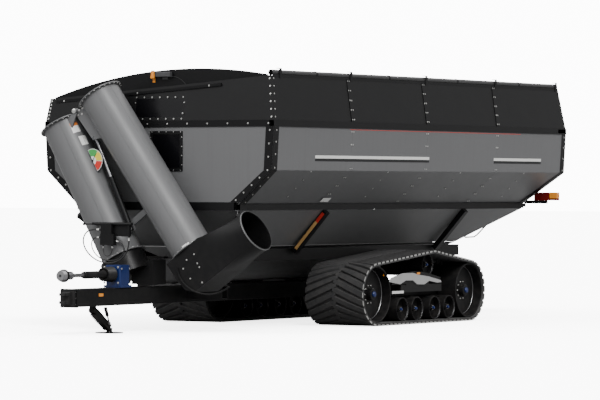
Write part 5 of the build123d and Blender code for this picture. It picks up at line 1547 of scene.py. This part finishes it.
# ---- Drawbar ---------------------------------------------------------------------------------
@dataclass
class Drawbar:
    """Hitch, jack, gearbox and drive shaft trim."""

    width: float = 0.300

    def reflectors(self) -> None:
        """Adds the amber reflectors on the drawbar's sides and the bolts of the hitch."""
        amber = Piece("drawbar_reflectors", "cart", AMBER_LENS)
        spots = []
        for _, side in SIDES:
            face = side * self.width / 2
            low_y, high_y = sorted((face, face + side * 0.008))
            amber.box((5.57, low_y, 0.615), (5.69, high_y, 0.665))
            for z in (0.50, 0.60, 0.70):
                spots.append(Spot((6.3255, side * (self.width / 2 - 0.03), z), (1.0, 0.0, 0.0)))
        amber.done()
        SPREADER.spread("hitch_bolts", HEX_BOLT, spots, 0.018, "cart", ZINC)

    def gearbox(self) -> None:
        """Adds the bolts of the blue gearbox."""
        low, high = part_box("pto_gearbox")
        spots = []
        for y in (low[1] + 0.035, high[1] - 0.035):
            for z in (low[2] + 0.08, high[2] - 0.035):
                spots.append(Spot((high[0] - 0.001, y, z), (1.0, 0.0, 0.0)))
                spots.append(Spot((low[0] + 0.001, y, z), (-1.0, 0.0, 0.0)))
        for x in (low[0] + 0.06, high[0] - 0.06):
            for y, facing in ((low[1], -1.0), (high[1], 1.0)):
                spots.append(Spot((x, y, high[2] - 0.06), (0.0, facing, 0.0)))
        SPREADER.spread("gearbox_bolts", HEX_BOLT, spots, 0.014, "cart", ZINC)

    def shaft_guard(self) -> None:
        """Adds the folds of the drive shaft's guard."""
        low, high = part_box("pto_guard")
        y, z = (low[1] + high[1]) / 2, (low[2] + high[2]) / 2
        folds = Piece("guard_folds", "cart", GUARD_PLASTIC)
        outer = (high[2] - low[2]) / 2
        for step in range(4):
            place = axes_at((low[0] + 0.012 + step * 0.022, y, z), (1.0, 0.0, 0.0))
            radius = outer - 0.004
            folds.lathe([(radius - 0.006, 0.0), (radius + 0.003, 0.005), (radius - 0.006, 0.010),
                         (radius - 0.010, 0.005)], place, 36, loop=True)
        folds.done()

    def shaft_collars(self) -> None:
        """Adds the big silver joint collar at the shaft's tip, its black band and the ribbed bell."""
        low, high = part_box("pto_shaft")
        y, z = (low[1] + high[1]) / 2, (low[2] + high[2]) / 2
        collar = Piece("joint_collar", "pto_shaft", BARE_STEEL)
        place = axes_at((high[0] - 0.150, y, z), (1.0, 0.0, 0.0))
        collar.lathe([(0.034, 0.0), (0.090, 0.006), (0.100, 0.030), (0.100, 0.075), (0.090, 0.100),
                      (0.090, 0.125), (0.080, 0.140), (0.034, 0.140)], place, 40, loop=True)
        collar.done()
        lugs = Piece("joint_collar_band", "pto_shaft", BLACK_PAINT)
        lugs.lathe([(0.0995, 0.028), (0.106, 0.032), (0.106, 0.072), (0.0995, 0.076)], place, 40, loop=True)
        lugs.done()
        low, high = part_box("pto_gearbox")
        bell = Piece("guard_bell", "cart", GUARD_PLASTIC)
        place = axes_at((high[0] + 0.001, y, z), (1.0, 0.0, 0.0))
        profile = [(0.078, 0.0), (0.128, 0.0)]
        for step in range(7):
            profile += [(0.128 - 0.002 * step, 0.015 + step * 0.03),
                        (0.116 - 0.002 * step, 0.030 + step * 0.03)]
        profile += [(0.112, 0.235), (0.105, 0.235), (0.078, 0.215)]
        bell.lathe(profile, place, 40, loop=True)
        bell.done()

    def jack_spring(self) -> None:
        """Adds the return spring beside the jack leg."""
        low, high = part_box("jack_leg")
        start = Vector((high[0] - 0.10, -0.075, high[2] - 0.12))
        end = start + Vector((-0.205, 0.0, -0.143))
        axis = end - start
        place = axes_at(tuple(start), tuple(axis))
        spring = Piece("jack_spring", "jack_leg", BARE_STEEL)
        coils, steps = 12, 12
        route = []
        for step in range(coils * steps + 1):
            x, y = circle_points(0.016, steps)[step % steps]
            route.append(tuple(place @ Vector((x, y, axis.length * step / (coils * steps)))))
        spring.tube(route, 0.0028, 6)
        spring.done()

    def build(self) -> None:
        """Builds everything on the drawbar."""
        self.reflectors()
        self.gearbox()
        self.shaft_guard()
        self.shaft_collars()
        self.jack_spring()


# ---- Studio ----------------------------------------------------------------------------------
@dataclass
class Studio:
    """Pale floor, soft light and the camera."""

    eye: Triple = (54.578, 34.204, 2.429)
    azimuth: float = 31.7125
    elevation: float = 0.2265
    roll: float = 0.0022
    lens: float = 219.3
    floor_half: float = 260.0
    glow: float = 3.6
    paper: Triple = (3.2, 3.2, 3.2)
    bounce: Triple = (0.30, 0.30, 0.30)
    sky_low: float = 0.30
    sky_top: float = 1.20
    backdrop: float = 12.0

    def floor(self) -> None:
        """Lays a wide pale floor."""
        size = self.floor_half
        mesh = bpy.data.meshes.new("floor")
        corners = [(-size, -size, 0.0), (size, -size, 0.0), (size, size, 0.0), (-size, size, 0.0)]
        mesh.from_pydata(corners, [], [(0, 1, 2, 3)])
        material = bpy.data.materials.new("floor")
        material.use_nodes = True
        material.node_tree.nodes.clear()
        graph = Graph(material.node_tree)
        seen = graph.add("ShaderNodeLightPath").outputs["Is Camera Ray"]
        glow = graph.add("ShaderNodeEmission")
        glow.inputs["Strength"].default_value = self.glow
        matt = graph.add("ShaderNodeBsdfDiffuse")
        graph.link(graph.blend(seen, self.bounce, self.paper), matt.inputs["Color"])
        both = graph.add("ShaderNodeAddShader")
        either = graph.add("ShaderNodeMixShader")
        graph.link(glow.outputs[0], both.inputs[0])
        graph.link(matt.outputs[0], both.inputs[1])
        graph.link(seen, either.inputs[0])
        graph.link(matt.outputs[0], either.inputs[1])
        graph.link(both.outputs[0], either.inputs[2])
        graph.link(either.outputs[0], graph.add("ShaderNodeOutputMaterial").inputs[0])
        mesh.materials.append(material)
        floor = bpy.data.objects.new("floor", mesh)
        bpy.context.scene.collection.objects.link(floor)

    def lights(self) -> None:
        """Sets an even sky and two soft suns."""
        world = bpy.data.worlds.new("studio")
        world.use_nodes = True
        world.node_tree.nodes.clear()
        graph = Graph(world.node_tree)
        parts = graph.add("ShaderNodeSeparateXYZ")
        graph.link(graph.add("ShaderNodeTexCoord").outputs["Generated"], parts.inputs[0])
        height = graph.math("MAXIMUM", parts.outputs["Z"], 0.0)
        sky = graph.math("ADD", graph.math("MULTIPLY", height, self.sky_top), self.sky_low)
        seen = graph.add("ShaderNodeLightPath").outputs["Is Camera Ray"]
        lift = graph.math("MULTIPLY", seen, self.backdrop)
        background = graph.add("ShaderNodeBackground")
        graph.link(graph.math("ADD", sky, lift), background.inputs["Strength"])
        graph.link(background.outputs[0], graph.add("ShaderNodeOutputWorld").inputs[0])
        background.inputs["Color"].default_value = (1.0, 1.0, 1.0, 1.0)
        bpy.context.scene.world = world
        for name, direction, energy, spread in (("key", (0.75, 0.80, 1.10), 2.4, 20.0),
                                                ("fill", (1.0, -0.60, 0.9), 1.0, 45.0),
                                                ("rim", (-0.8, 0.5, 0.9), 0.5, 45.0)):
            light = bpy.data.lights.new(name, "SUN")
            light.energy = energy
            light.angle = math.radians(spread)
            lamp = bpy.data.objects.new(name, light)
            lamp.rotation_euler = Vector(direction).to_track_quat("Z", "Y").to_euler()
            bpy.context.scene.collection.objects.link(lamp)

    def camera(self) -> None:
        """Sets the camera."""
        data = bpy.data.cameras.new("camera")
        data.lens = self.lens
        data.sensor_width = 36.0
        data.clip_end = 1000.0
        camera = bpy.data.objects.new("camera", data)
        azimuth, elevation = math.radians(self.azimuth), math.radians(self.elevation)
        back = Vector((math.cos(elevation) * math.cos(azimuth), math.cos(elevation) * math.sin(azimuth),
                       math.sin(elevation)))
        turn = back.to_track_quat("Z", "Y").to_matrix().to_4x4() @ Matrix.Rotation(self.roll, 4, "Z")
        camera.matrix_world = Matrix.Translation(self.eye) @ turn
        bpy.context.scene.collection.objects.link(camera)
        bpy.context.scene.camera = camera

    def build(self) -> None:
        """Builds the floor, the lights and the camera."""
        self.floor()
        self.lights()
        self.camera()


def main() -> None:
    """Dresses the frame and builds every sub-assembly."""
    logging.basicConfig(level=logging.INFO)
    SHOP.dress_nodes()
    Studio().build()
    Hydraulics().build()
    Hopper().build()
    Augers().build()
    for word, side in SIDES:
        TrackUnit(word, side).build()
    Drawbar().build()


if __name__ == "__main__":
    main()
